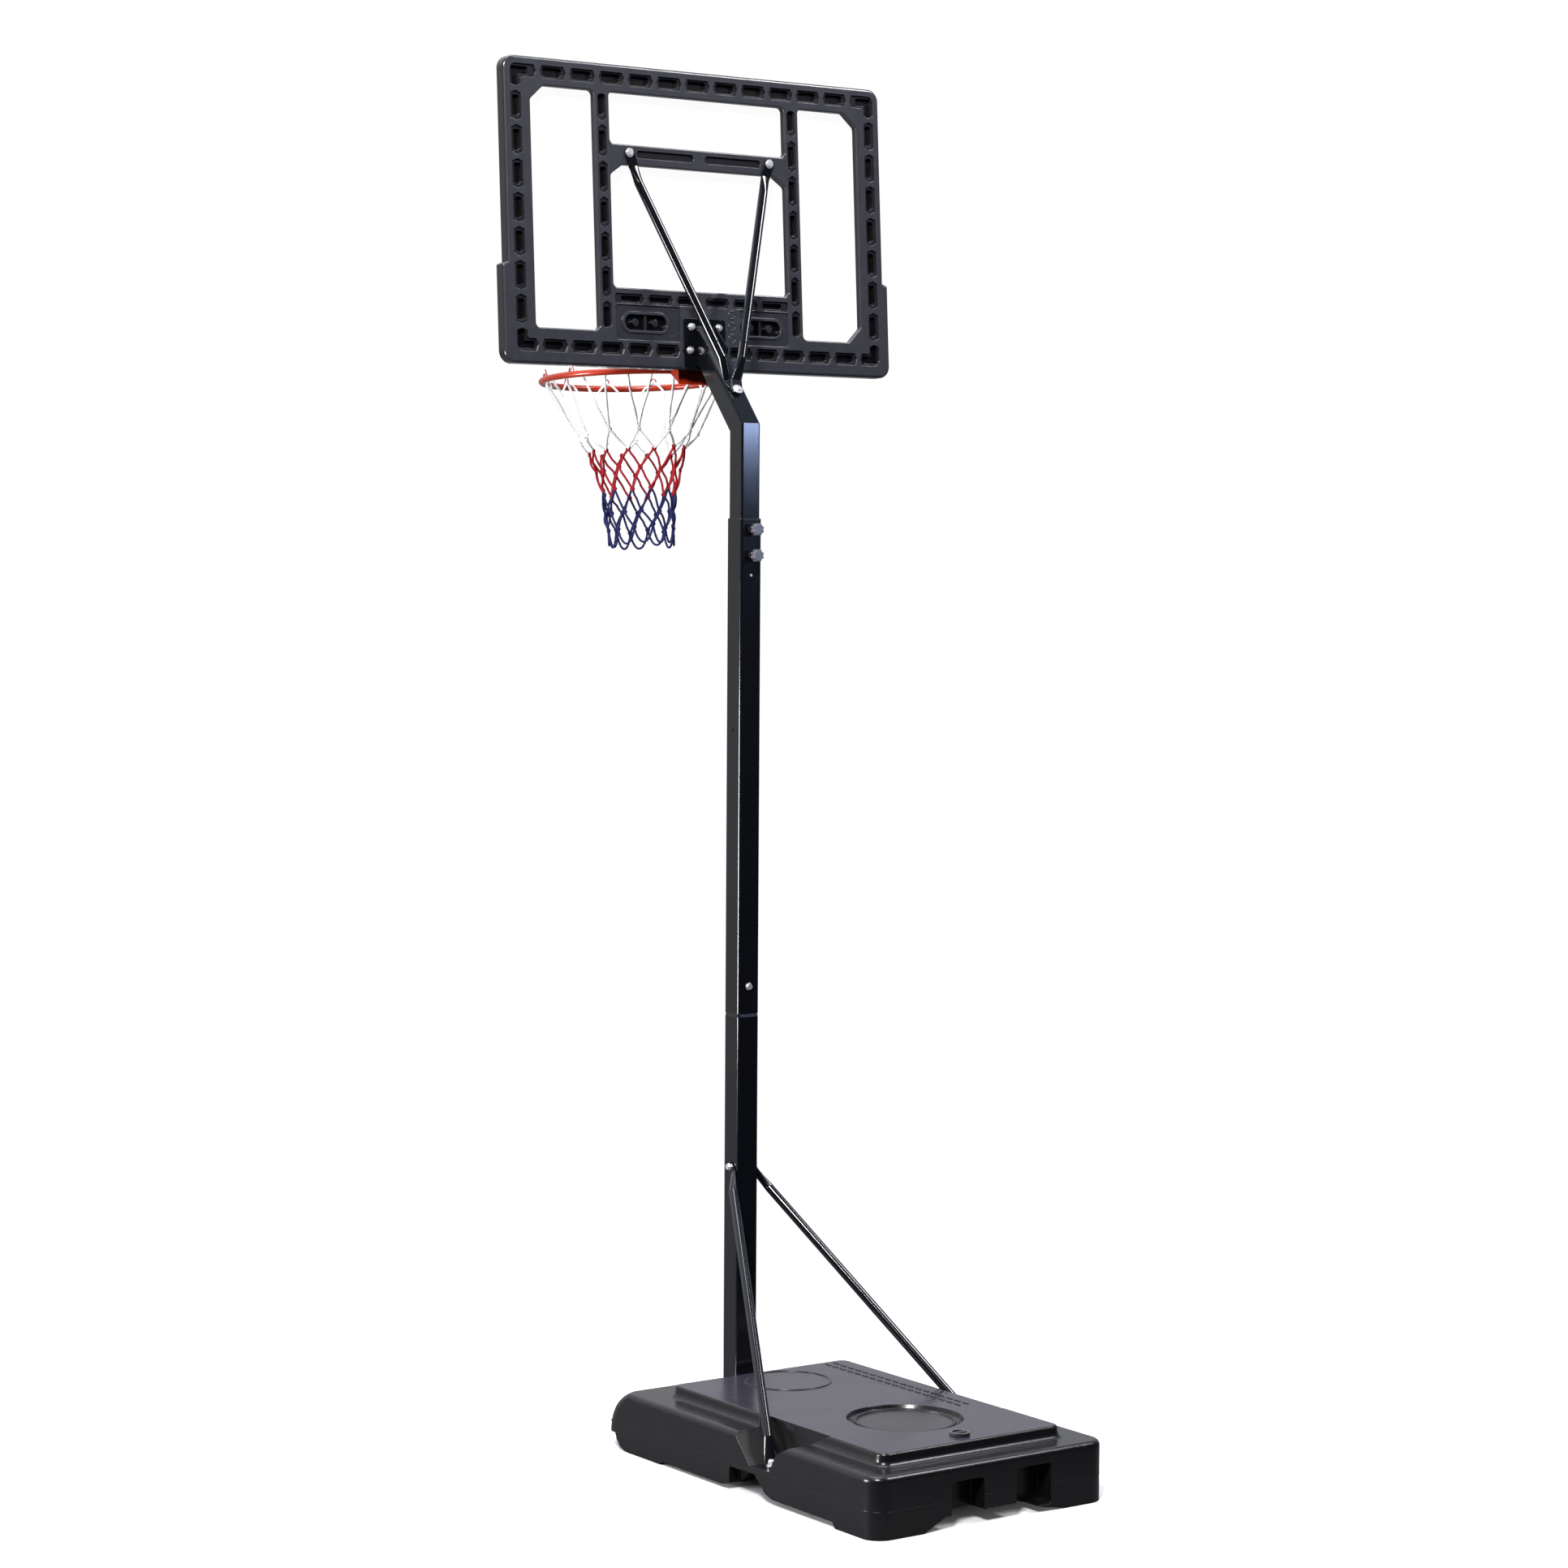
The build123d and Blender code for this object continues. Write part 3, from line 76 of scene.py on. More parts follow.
# --------------------------------------------------------- node tree helper
class Tree:
    def __init__(self, name):
        self.mat = bpy.data.materials.new(name)
        self.mat.use_nodes = True
        self.nt = self.mat.node_tree
        self.nt.nodes.clear()
        self.out = self.nt.nodes.new("ShaderNodeOutputMaterial")
        self.bsdf = self.nt.nodes.new("ShaderNodeBsdfPrincipled")
        self.link(self.bsdf.outputs[0], self.out.inputs[0])
        self.coord = self.nt.nodes.new("ShaderNodeTexCoord").outputs["Object"]

    def link(self, a, b):
        self.nt.links.new(a, b)

    def node(self, kind, **props):
        n = self.nt.nodes.new(kind)
        for k, v in props.items():
            setattr(n, k, v)
        return n

    def set(self, **kw):
        names = {"base": "Base Color", "rough": "Roughness", "metal": "Metallic", "ior": "IOR",
                 "spec": "Specular IOR Level", "coat": "Coat Weight", "coat_rough": "Coat Roughness",
                 "trans": "Transmission Weight", "sheen": "Sheen Weight", "sheen_rough": "Sheen Roughness",
                 "alpha": "Alpha"}
        for k, v in kw.items():
            self.bsdf.inputs[names[k]].default_value = v
        return self

    def noise(self, scale, detail=3.0, rough=0.5, vec=None, dist=0.0):
        n = self.node("ShaderNodeTexNoise")
        n.inputs["Scale"].default_value = scale
        n.inputs["Detail"].default_value = detail
        n.inputs["Roughness"].default_value = rough
        n.inputs["Distortion"].default_value = dist
        self.link(vec or self.coord, n.inputs["Vector"])
        return n.outputs[0]

    def scaled(self, x, y, z, vec=None):
        n = self.node("ShaderNodeMapping")
        n.inputs["Scale"].default_value = (x, y, z)
        self.link(vec or self.coord, n.inputs["Vector"])
        return n.outputs[0]

    def voronoi(self, scale, feature="F1", vec=None):
        n = self.node("ShaderNodeTexVoronoi", feature=feature)
        n.inputs["Scale"].default_value = scale
        self.link(vec or self.coord, n.inputs["Vector"])
        return n.outputs["Distance"]

    def ramp(self, fac, *stops, mode="LINEAR"):
        n = self.node("ShaderNodeValToRGB")
        n.color_ramp.interpolation = mode
        e = n.color_ramp.elements
        while len(e) < len(stops):
            e.new(0.5)
        for el, (pos, col) in zip(e, stops):
            el.position = pos
            el.color = (*col, 1) if isinstance(col, (tuple, list)) else (col, col, col, 1)
        self.link(fac, n.inputs[0])
        return n.outputs[0]

    def mix(self, fac, a, b, blend="MIX"):
        n = self.node("ShaderNodeMix", data_type="RGBA", blend_type=blend)
        for val, sock in ((fac, n.inputs[0]), (a, n.inputs[6]), (b, n.inputs[7])):
            if isinstance(val, (int, float)):
                sock.default_value = val if sock.type == "VALUE" else (val, val, val, 1)
            elif isinstance(val, (tuple, list)):
                sock.default_value = (*val, 1)
            else:
                self.link(val, sock)
        return n.outputs[2]

    def math(self, op, a, b=0.0, clamp=False):
        n = self.node("ShaderNodeMath", operation=op, use_clamp=clamp)
        for val, sock in ((a, n.inputs[0]), (b, n.inputs[1])):
            if isinstance(val, (int, float)):
                sock.default_value = val
            else:
                self.link(val, sock)
        return n.outputs[0]

    def sep(self, vec=None):
        n = self.node("ShaderNodeSeparateXYZ")
        self.link(vec or self.coord, n.inputs[0])
        return n.outputs

    def base(self, sock):
        self.link(sock, self.bsdf.inputs["Base Color"])
        return self

    def rough_from(self, sock, lo, hi):
        n = self.node("ShaderNodeMapRange")
        n.inputs["To Min"].default_value = lo
        n.inputs["To Max"].default_value = hi
        self.link(sock, n.inputs[0])
        self.link(n.outputs[0], self.bsdf.inputs["Roughness"])
        return self

    def bump(self, *layers, bevel=0.0):
        """layers: (height socket, distance in metres)"""
        normal = None
        if bevel:
            b = self.node("ShaderNodeBevel", samples=4)
            b.inputs["Radius"].default_value = bevel
            normal = b.outputs[0]
        for height, dist in layers:
            n = self.node("ShaderNodeBump")
            n.inputs["Strength"].default_value = 1.0
            n.inputs["Distance"].default_value = dist
            self.link(height, n.inputs["Height"])
            if normal is not None:
                self.link(normal, n.inputs["Normal"])
            normal = n.outputs[0]
        if normal is not None:
            self.link(normal, self.bsdf.inputs["Normal"])
        return self

    def edge_wear(self, radius=0.0015, power=1.0):
        """0 on flats, 1 on worn outer edges."""
        geo = self.node("ShaderNodeNewGeometry")
        n = self.node("ShaderNodeMapRange")
        n.inputs["From Min"].default_value = 0.52
        n.inputs["From Max"].default_value = 0.62
        self.link(geo.outputs["Pointiness"], n.inputs[0])
        return n.outputs[0]


# --------------------------------------------------------------- materials
lean_n = Vector((0, -math.cos(math.radians(3.3)), -math.sin(math.radians(3.3))))
board_o = Vector((0, -0.1715, 2.5869))
panel = nodes["clear_panel"]
PANEL_FRONT = max((panel.matrix_world @ v.co - board_o).dot(lean_n) for v in panel.data.vertices)


def powder_coat(name, base, base2, rough=(0.16, 0.30), coat=0.35, peel=0.00002):
    t = Tree(name)
    big = t.noise(6.0, 4, 0.6)
    fine = t.noise(900.0, 2, 0.5)
    peel_n = t.noise(260.0, 2, 0.5)
    dust = t.noise(30.0, 6, 0.7)
    col = t.mix(big, base, base2)
    col = t.mix(t.ramp(dust, (0.62, 0.0), (0.80, 0.25)), col, tuple(min(1, c * 1.9 + 0.01) for c in base2))
    t.base(col)
    t.rough_from(t.noise(18.0, 5, 0.6), *rough)
    t.set(coat=coat, coat_rough=0.12, spec=0.5)
    t.bump((peel_n, peel), (fine, peel * 0.15), bevel=0.0008)
    return t.mat


black_steel = powder_coat("black_powder_coat", (0.0024, 0.0026, 0.0034), (0.0042, 0.0046, 0.0066), rough=(0.09, 0.17), coat=0.5)
ring_orange = powder_coat("orange_powder_coat", (0.31, 0.0165, 0.0025), (0.40, 0.027, 0.004), rough=(0.22, 0.38), coat=0.25)


def moulded(name, dark, light, rough, grain_scale, grain_depth, bevel, extra=None, spec=0.45):
    t = Tree(name)
    cloud = t.noise(3.5, 5, 0.6)
    mottled = t.noise(45.0, 4, 0.6)
    cells = t.voronoi(grain_scale)
    fine = t.noise(grain_scale * 1.6, 2, 0.6)
    col = t.mix(cloud, dark, light)
    col = t.mix(t.ramp(mottled, (0.45, 0.0), (0.75, 0.35)), col, tuple(c * 1.35 for c in light))
    scuff = t.noise(14.0, 8, 0.75, vec=t.scaled(1.0, 5.0, 1.0), dist=0.4)
    col = t.mix(t.ramp(scuff, (0.66, 0.0), (0.74, 0.30)), col, tuple(c * 2.1 + 0.004 for c in light))
    rough_n = t.node("ShaderNodeMapRange")
    rough_n.inputs["To Min"].default_value, rough_n.inputs["To Max"].default_value = rough
    t.link(t.noise(22.0, 6, 0.65), rough_n.inputs[0])
    rough_s = rough_n.outputs[0]
    if extra:
        col, rough_s = extra(t, col, rough_s)
    t.base(col)
    t.link(rough_s, t.bsdf.inputs["Roughness"])
    t.set(spec=spec)
    t.bump((cells, grain_depth), (fine, grain_depth * 0.5), (t.noise(11.0, 3, 0.5), 0.0010), bevel=bevel)
    return t.mat


def tank_zones(t, col, rough_s):
    """The dished recess is matt, with painted shade (near black) on its walls and rib tops and a lighter painted
    sheen on its floor; flat top faces are pebbled and carry a lighter, lilac painted sheen.
    """
    x, y, z = t.sep()
    dx = t.math("POWER", x, 2.0)
    dy = t.math("POWER", t.math("ADD", y, -0.665), 2.0)
    inside = t.math("MULTIPLY", t.math("LESS_THAN", t.math("ADD", dx, dy), 0.1290 ** 2), t.math("GREATER_THAN", z, 0.150))
    recess_matt_and_shade = t.math("MULTIPLY", inside, t.math("LESS_THAN", z, 0.1668))
    recess_floor_sheen = t.math("MULTIPLY", recess_matt_and_shade, t.math("LESS_THAN", z, 0.1628))
    geo = t.node("ShaderNodeNewGeometry")
    n = t.node("ShaderNodeSeparateXYZ")
    t.link(geo.outputs["True Normal"], n.inputs[0])
    # painted sheen: up-facing top faces get a lighter, lilac colour than the black body, with a pebble grain in it
    top = t.math("MULTIPLY", t.math("GREATER_THAN", n.outputs[2], 0.97), t.math("GREATER_THAN", z, 0.1652))
    weave = t.voronoi(330.0)
    top_sheen_col = t.mix(t.ramp(weave, (0.15, 0.0), (0.8, 0.6)), (0.0260, 0.0225, 0.0350), (0.0370, 0.0325, 0.0480))
    col = t.mix(top, col, top_sheen_col)
    # painted shade: the recess walls and rib tops are coloured near black
    col = t.mix(recess_matt_and_shade, col, (0.0020, 0.0020, 0.0022))
    # painted sheen: the up-facing recess floor is coloured lighter than the body
    col = t.mix(recess_floor_sheen, col, (0.030, 0.0290, 0.0335))
    rough_s = t.math("ADD", rough_s, t.math("MULTIPLY", recess_matt_and_shade, 0.10), clamp=True)
    side = t.math("GREATER_THAN", t.math("ABSOLUTE", x), 0.2465)
    span = t.math("MULTIPLY", t.math("GREATER_THAN", y, 0.447), t.math("LESS_THAN", y, 0.530))
    wall = t.math("MULTIPLY", t.math("MULTIPLY", side, span), t.math("GREATER_THAN", n.outputs[1], 0.25))
    rough_s = t.math("ADD", rough_s, t.math("MULTIPLY", wall, 0.40), clamp=True)
    return col, rough_s


def frame_zones(t, col, rough_s):
    """Painted shade: the shallow channel and the pockets below the back face are darkened with their depth, the
    pockets to nearly black; the front face is left out.
    """
    lean = math.radians(3.3)
    x, y, z = t.sep()
    depth = t.math("ADD", t.math("MULTIPLY", t.math("ADD", y, 0.1715), -math.cos(lean)),
                   t.math("MULTIPLY", t.math("ADD", z, -2.5869), -math.sin(lean)))
    groove_painted_shade = t.node("ShaderNodeMapRange", interpolation_type="SMOOTHSTEP")
    groove_painted_shade.inputs["From Min"].default_value = 0.0012
    groove_painted_shade.inputs["From Max"].default_value = 0.0042
    groove_painted_shade.inputs["To Min"].default_value = 0.0
    groove_painted_shade.inputs["To Max"].default_value = 0.80
    t.link(depth, groove_painted_shade.inputs[0])
    pocket_painted_shade = t.node("ShaderNodeMapRange", interpolation_type="SMOOTHSTEP")
    pocket_painted_shade.inputs["From Min"].default_value = 0.0044
    pocket_painted_shade.inputs["From Max"].default_value = 0.0080
    pocket_painted_shade.inputs["To Min"].default_value = 0.0
    pocket_painted_shade.inputs["To Max"].default_value = 0.97
    t.link(depth, pocket_painted_shade.inputs[0])
    front = t.math("GREATER_THAN", depth, 0.0295)
    keep = t.math("SUBTRACT", 1.0, front)
    # painted shade in the channel, then nearly black painted shade in the pockets
    col = t.mix(t.math("MULTIPLY", groove_painted_shade.outputs[0], keep), col, (0.004, 0.004, 0.005))
    col = t.mix(t.math("MULTIPLY", pocket_painted_shade.outputs[0], keep), col, (0.0015, 0.0015, 0.002))
    return col, rough_s


tank_plastic = moulded("tank_hdpe", (0.0040, 0.0040, 0.0044), (0.0066, 0.0066, 0.0072), (0.20, 0.29), 950.0, 0.000006, 0.0035,
                       extra=tank_zones, spec=0.5)
frame_plastic = moulded("frame_pp", (0.0270, 0.0270, 0.0350), (0.0370, 0.0370, 0.0475), (0.17, 0.27), 1100.0, 0.000006, 0.0020,
                        extra=frame_zones, spec=0.6)
frame_plastic.node_tree.nodes["Principled BSDF"].inputs["Coat Weight"].default_value = 0.35
frame_plastic.node_tree.nodes["Principled BSDF"].inputs["Coat Roughness"].default_value = 0.14
guide_plastic = moulded("guide_pp", (0.006, 0.006, 0.0065), (0.010, 0.010, 0.011), (0.35, 0.50), 1200.0, 0.00002, 0.0006)
wheel_plastic = moulded("wheel_hdpe", (0.008, 0.008, 0.009), (0.014, 0.014, 0.015), (0.40, 0.60), 900.0, 0.00003, 0.0008)


def knob_mat():
    t = Tree("knob_plastic")
    col = t.mix(t.noise(60.0, 4, 0.6), (0.11, 0.113, 0.13), (0.18, 0.185, 0.21))
    t.base(col)
    t.rough_from(t.noise(90.0, 4, 0.6), 0.20, 0.34)
    t.set(spec=0.7, metal=0.35)
    t.bump((t.noise(1400.0, 2, 0.5), 0.00008), bevel=0.0006)
    return t.mat


def cap_mat():
    t = Tree("cap_plastic")
    t.base(t.mix(t.noise(50.0, 4, 0.6), (0.010, 0.010, 0.011), (0.018, 0.018, 0.020)))
    t.rough_from(t.noise(120.0, 4, 0.6), 0.10, 0.22)
    t.set(spec=0.6, coat=0.5, coat_rough=0.08)
    t.bump((t.noise(700.0, 2, 0.5), 0.00004), bevel=0.0006)
    return t.mat


def rubber_mat():
    t = Tree("seal_rubber")
    t.base(t.mix(t.noise(90.0, 4, 0.6), (0.012, 0.012, 0.012), (0.022, 0.022, 0.022)))
    t.rough_from(t.noise(200.0, 4, 0.6), 0.65, 0.85)
    t.bump((t.noise(1800.0, 2, 0.5), 0.0001))
    return t.mat


def zinc_mat():
    t = Tree("zinc_steel")
    spangle = t.voronoi(420.0)
    brushed = t.noise(500.0, 3, 0.6, vec=t.scaled(1.0, 1.0, 8.0))
    t.base(t.mix(spangle, (0.70, 0.71, 0.73), (0.86, 0.86, 0.87)))
    t.rough_from(brushed, 0.20, 0.36)
    t.set(metal=0.75)
    t.bump((brushed, 0.00004), (spangle, 0.00005), bevel=0.0007)
    return t.mat


def water_mat():
    t = Tree("ballast_water")
    t.base(t.mix(t.noise(3.0, 3, 0.5), (0.25, 0.40, 0.50), (0.35, 0.50, 0.58)))
    t.set(rough=0.05)
    t.bump((t.noise(6.0, 3, 0.5), 0.003))
    return t.mat


def clear_mat():
    """Clear sheet with faint scratches; the front has a plain white border printed near its edge."""
    t = Tree("clear_sheet")
    lean = math.radians(3.3)
    x, y, z = t.sep()
    along = t.math("ADD", t.math("MULTIPLY", t.math("ADD", y, 0.1715), -math.sin(lean)),
                   t.math("MULTIPLY", t.math("ADD", z, -2.5869), math.cos(lean)))
    depth = t.math("ADD", t.math("MULTIPLY", t.math("ADD", y, 0.1715), -math.cos(lean)),
                   t.math("MULTIPLY", t.math("ADD", z, -2.5869), -math.sin(lean)))
    ax = t.math("ABSOLUTE", x)

    def band(px0, px1, py0, py1, wide):
        """1 inside the outline of the rectangle, which is wide metres thick"""
        cx, cy = (px0 + px1) / 2, (py0 + py1) / 2
        dx = t.math("SUBTRACT", t.math("ABSOLUTE", t.math("ADD", x, -cx)), (px1 - px0) / 2)
        dy = t.math("SUBTRACT", t.math("ABSOLUTE", t.math("ADD", along, -cy)), (py1 - py0) / 2)
        d = t.math("MAXIMUM", dx, dy)
        return t.math("LESS_THAN", t.math("ABSOLUTE", d), wide / 2)

    print_mask = band(-0.527, 0.527, 0.020, 0.704, 0.020)
    on_front = t.math("GREATER_THAN", depth, PANEL_FRONT - 0.0002)
    mask = t.math("MULTIPLY", print_mask, on_front)
    scratch = t.noise(60.0, 8, 0.8, vec=t.scaled(1.0, 1.0, 7.0), dist=0.3)
    haze = t.ramp(scratch, (0.60, 0.0), (0.78, 1.0))
    sheet = t.mix(haze, (0.93, 0.95, 0.96), (0.99, 0.99, 0.99))
    ink = t.mix(t.noise(300.0, 3, 0.6), (0.82, 0.82, 0.82), (0.88, 0.88, 0.88))
    t.base(t.mix(mask, sheet, ink))
    clear_alpha = t.math("ADD", t.math("MULTIPLY", haze, 0.02), 0.03)
    t.link(t.math("MAXIMUM", clear_alpha, mask), t.bsdf.inputs["Alpha"])
    t.rough_from(t.noise(16.0, 7, 0.7), 0.03, 0.10)
    t.set(spec=0.6)
    t.bump((scratch, 0.00002), (mask, 0.00008))
    return t.mat


knob_plastic = knob_mat()
cap_plastic = cap_mat()
seal_rubber = rubber_mat()
zinc_steel = zinc_mat()
ballast_water = water_mat()
clear_sheet = clear_mat()

SLOT = {
    "tank_plastic": tank_plastic, "water": ballast_water, "cap_plastic": cap_plastic, "seal_rubber": seal_rubber,
    "wheel_plastic": wheel_plastic, "zinc_steel": zinc_steel, "black_steel": black_steel,
    "frame_plastic": frame_plastic, "clear_sheet": clear_sheet, "ring_steel": ring_orange,
    "knob_plastic": knob_plastic, "guide_plastic": guide_plastic,
}
for sp in frame["record"]["subparts"]:
    mat = SLOT.get(sp["material_slot"])
    obj = nodes[sp["node"]]
    if mat is None:
        continue
    if not obj.material_slots:
        obj.data.materials.append(mat)
    for s in obj.material_slots:
        s.material = mat


# ----------------------------------------------------------------- the net
TILT = math.radians(4.75)
RING_C = Vector((0, 0, 0))
lo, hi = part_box("rim_ring")
RING_C = (lo + hi) / 2
AX_UP = Vector((0, -math.sin(TILT), math.cos(TILT)))
AX_X = Vector((1, 0, 0))
AX_Y = AX_UP.cross(AX_X)
RING_R = 0.233


def ring_pt(ang, r, h):
    return RING_C + AX_X * (r * math.cos(ang)) + AX_Y * (r * math.sin(ang)) + AX_UP * h


def cord_material(name, col_a, col_b, sheen_col):
    t = Tree(name)
    uv = t.node("ShaderNodeAttribute", attribute_name="along")
    sep = t.sep(uv.outputs["Vector"])
    # twisted plies: a slanted band pattern along the cord, used as bump and as painted shade in the grooves between
    # the plies
    phase = t.math("ADD", t.math("MULTIPLY", sep[0], 1250.0), t.math("MULTIPLY", sep[1], 2.0))
    ply_bump_and_shade = t.math("MULTIPLY", t.math("ADD", t.math("SINE", phase), 1.0), 0.5)
    fuzz = t.noise(1500.0, 4, 0.7)
    # painted shade: the colour darkens where the ply bump is low
    col = t.mix(ply_bump_and_shade, col_a, col_b)
    col = t.mix(t.ramp(t.noise(25.0, 3, 0.6), (0.4, 0.0), (0.8, 0.35)), col, tuple(c * 0.8 for c in col_b))
    t.base(col)
    t.rough_from(fuzz, 0.65, 0.9)
    t.set(sheen=0.06, sheen_rough=0.4, spec=0.25)
    t.bump((ply_bump_and_shade, 0.00035), (fuzz, 0.0001))
    return t.mat


cord_white = cord_material("cord_white", (0.86, 0.86, 0.88), (0.96, 0.96, 0.96), 0.8)
cord_red = cord_material("cord_red", (0.24, 0.003, 0.008), (0.38, 0.006, 0.014), 0.8)
cord_blue = cord_material("cord_blue", (0.003, 0.004, 0.045), (0.006, 0.009, 0.085), 0.8)

rng = random.Random(7)
CORD = 0.0028
N = 12
# rows of knots: (distance below the ring, radius)
ROWS = [(0.136, 0.150), (0.180, 0.120), (0.229, 0.106), (0.282, 0.091), (0.330, 0.086), (0.373, 0.084)]
knots = []
for i, (d, r) in enumerate(ROWS):
    row = []
    for k in range(N):
        half = 0.5 if i % 2 == 0 else 0.0
        a = 2 * math.pi * (k + 0.5 + half) / N + rng.uniform(-0.035, 0.035)
        row.append(ring_pt(a, r + rng.uniform(-0.004, 0.004), -d + rng.uniform(-0.006, 0.006)))
    knots.append(row)


def catmull(pts, n):
    out = []
    p = [pts[0]] + list(pts) + [pts[-1]]
    for i in range(1, len(p) - 2):
        for j in range(n):
            u = j / n
            a, b, c, d = p[i - 1], p[i], p[i + 1], p[i + 2]
            out.append(0.5 * ((2 * b) + (c - a) * u + (2 * a - 5 * b + 4 * c - d) * u * u
                              + (3 * b - a - 3 * c + d) * u * u * u))
    out.append(pts[-1])
    return out


bm = bmesh.new()
along_layer = bm.verts.layers.float_vector.new("along")


def tube(points, radius, mat, sides=8, close_ends=True):
    n = len(points)
    prev = None
    rings = []
    dist = 0.0
    ref = Vector((0.3, 0.5, 0.8)).normalized()
    for i, p in enumerate(points):
        tan = (points[min(i + 1, n - 1)] - points[max(i - 1, 0)]).normalized()
        if prev is None:
            side = tan.cross(ref)
            if side.length < 1e-3:
                side = tan.cross(Vector((1, 0, 0)))
            side.normalize()
        else:
            side = (prev - tan * prev.dot(tan)).normalized()
        prev = side
        other = tan.cross(side)
        if i:
            dist += (p - points[i - 1]).length
        ring = []
        for s in range(sides):
            ang = 2 * math.pi * s / sides
            # two plies laid round each other give a slightly oval, turning section
            turn = dist * 620.0
            rr = radius * (1 + 0.16 * math.cos(2 * (ang - turn)))
            v = bm.verts.new(p + side * (rr * math.cos(ang)) + other * (rr * math.sin(ang)))
            v[along_layer] = (dist, ang, 0)
            ring.append(v)
        rings.append(ring)
    for a, b in zip(rings, rings[1:]):
        for s in range(sides):
            f = bm.faces.new((a[s], a[(s + 1) % sides], b[(s + 1) % sides], b[s]))
            f.material_index = mat
            f.smooth = True
    if close_ends:
        for ring, flip in ((rings[0], True), (rings[-1], False)):
            f = bm.faces.new(list(reversed(ring)) if flip else ring)
            f.material_index = mat
            f.smooth = True


def strand(a, b, mat, slack=0.004, seed_amp=0.0012, radius=0.0028, mid=None):
    v = b - a
    length = v.length
    axis_pt = (a + b) / 2
    outward = axis_pt - (RING_C + AX_UP * (axis_pt - RING_C).dot(AX_UP))
    outward.normalize()
    pts = [a]
    for u in (0.25, 0.5, 0.75):
        wob = Vector((rng.uniform(-1, 1), rng.uniform(-1, 1), rng.uniform(-1, 1))) * seed_amp
        bow = outward * (slack * 4 * u * (1 - u))
        pts.append(a + v * u + bow + wob)
    pts.append(b)
    fine = catmull(pts, max(3, int(length / 0.0022 / 4)))
    tube(fine, radius, mat)


def knot(p, mat, size=0.0046):
    """Overhand knot: two crossed small loops with bulging turns."""
    out = (p - (RING_C + AX_UP * (p - RING_C).dot(AX_UP))).normalized()
    tang = AX_UP.cross(out).normalized()
    for tilt in (0.6, -0.6):
        pts = []
        for j in range(15):
            a = 2 * math.pi * j / 14
            x = math.cos(a) * size * 0.95
            y = math.sin(a) * size * 0.75
            z = math.sin(2 * a) * size * 0.35
            pts.append(p + tang * (x * math.cos(tilt) - y * math.sin(tilt))
                       + AX_UP * (x * math.sin(tilt) + y * math.cos(tilt)) + out * z)
        tube(pts, 0.0024, mat, sides=7)


# white loops: each starts at a hook on top of the ring and passes its inner side
for k in range(N):
    a0 = 2 * math.pi * (k + 0.5) / N
    top = ring_pt(a0, RING_R, 0.0172)
    for sgn in (-1, 1):
        spread = sgn * 0.029 / RING_R
        tgt = knots[0][k] if sgn > 0 else knots[0][(k - 1) % N]
        p1 = ring_pt(a0 + spread * 0.35, RING_R - 0.0065, 0.0125)
        p2 = ring_pt(a0 + spread * 0.80, RING_R - 0.0108, 0.0)
        p3 = ring_pt(a0 + spread * 1.05, RING_R - 0.0125, -0.013)
        u = tgt - p3
        p4 = p3 + u * 0.33 + Vector((rng.uniform(-1, 1), rng.uniform(-1, 1), rng.uniform(-1, 1))) * 0.002
        p5 = p3 + u * 0.66 + Vector((rng.uniform(-1, 1), rng.uniform(-1, 1), rng.uniform(-1, 1))) * 0.002
        tube(catmull([top, p1, p2, p3, p4, p5, tgt], 9), CORD, 0)
    # turn of cord round the hook wire
    pts = []
    rad = (ring_pt(a0, 1, 0) - ring_pt(a0, 0, 0)).normalized()
    tng = AX_UP.cross(rad)
    for j in range(13):
        a = math.pi * (-0.1 + 1.2 * j / 12)
        pts.append(top + rad * (0.0042 * math.cos(a)) + AX_UP * (0.0042 * math.sin(a) - 0.0005) + tng * (0.0006 * (j - 6)))
    tube(pts, CORD, 0)

for i in range(len(ROWS) - 1):
    mat = 0 if i == 0 else (1 if i <= 2 else 2)
    for k in range(N):
        if i % 2 == 0:
            t1, t2 = knots[i + 1][k], knots[i + 1][(k + 1) % N]
        else:
            t1, t2 = knots[i + 1][k], knots[i + 1][(k - 1) % N]
        strand(knots[i][k], t1, mat)
        strand(knots[i][k], t2, mat)
for i, row in enumerate(knots):
    mat = 0 if i == 0 else (1 if i <= 3 else 2)
    for p in row:
        knot(p, mat)
# bottom loops hang from the last row
for k in range(N):
    a, b = knots[-1][k], knots[-1][(k + 1) % N]
    mid = (a + b) / 2
    down = AX_UP * -(0.040 + rng.uniform(-0.006, 0.004))
    side = (b - a)
    pts = [a, a + side * 0.12 + down * 0.55, a + side * 0.36 + down * 0.97, a + side * 0.64 + down * 0.97,
           b - side * 0.12 + down * 0.55, b]
    tube(catmull(pts, 7), CORD, 2)

mesh = bpy.data.meshes.new("hoop_net")
bm.to_mesh(mesh)
bm.free()
for mt in (cord_white, cord_red, cord_blue):
    mesh.materials.append(mt)
net_obj = bpy.data.objects.new("hoop_net", mesh)
scene.collection.objects.link(net_obj)
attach(net_obj, "mast_head")
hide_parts("net")

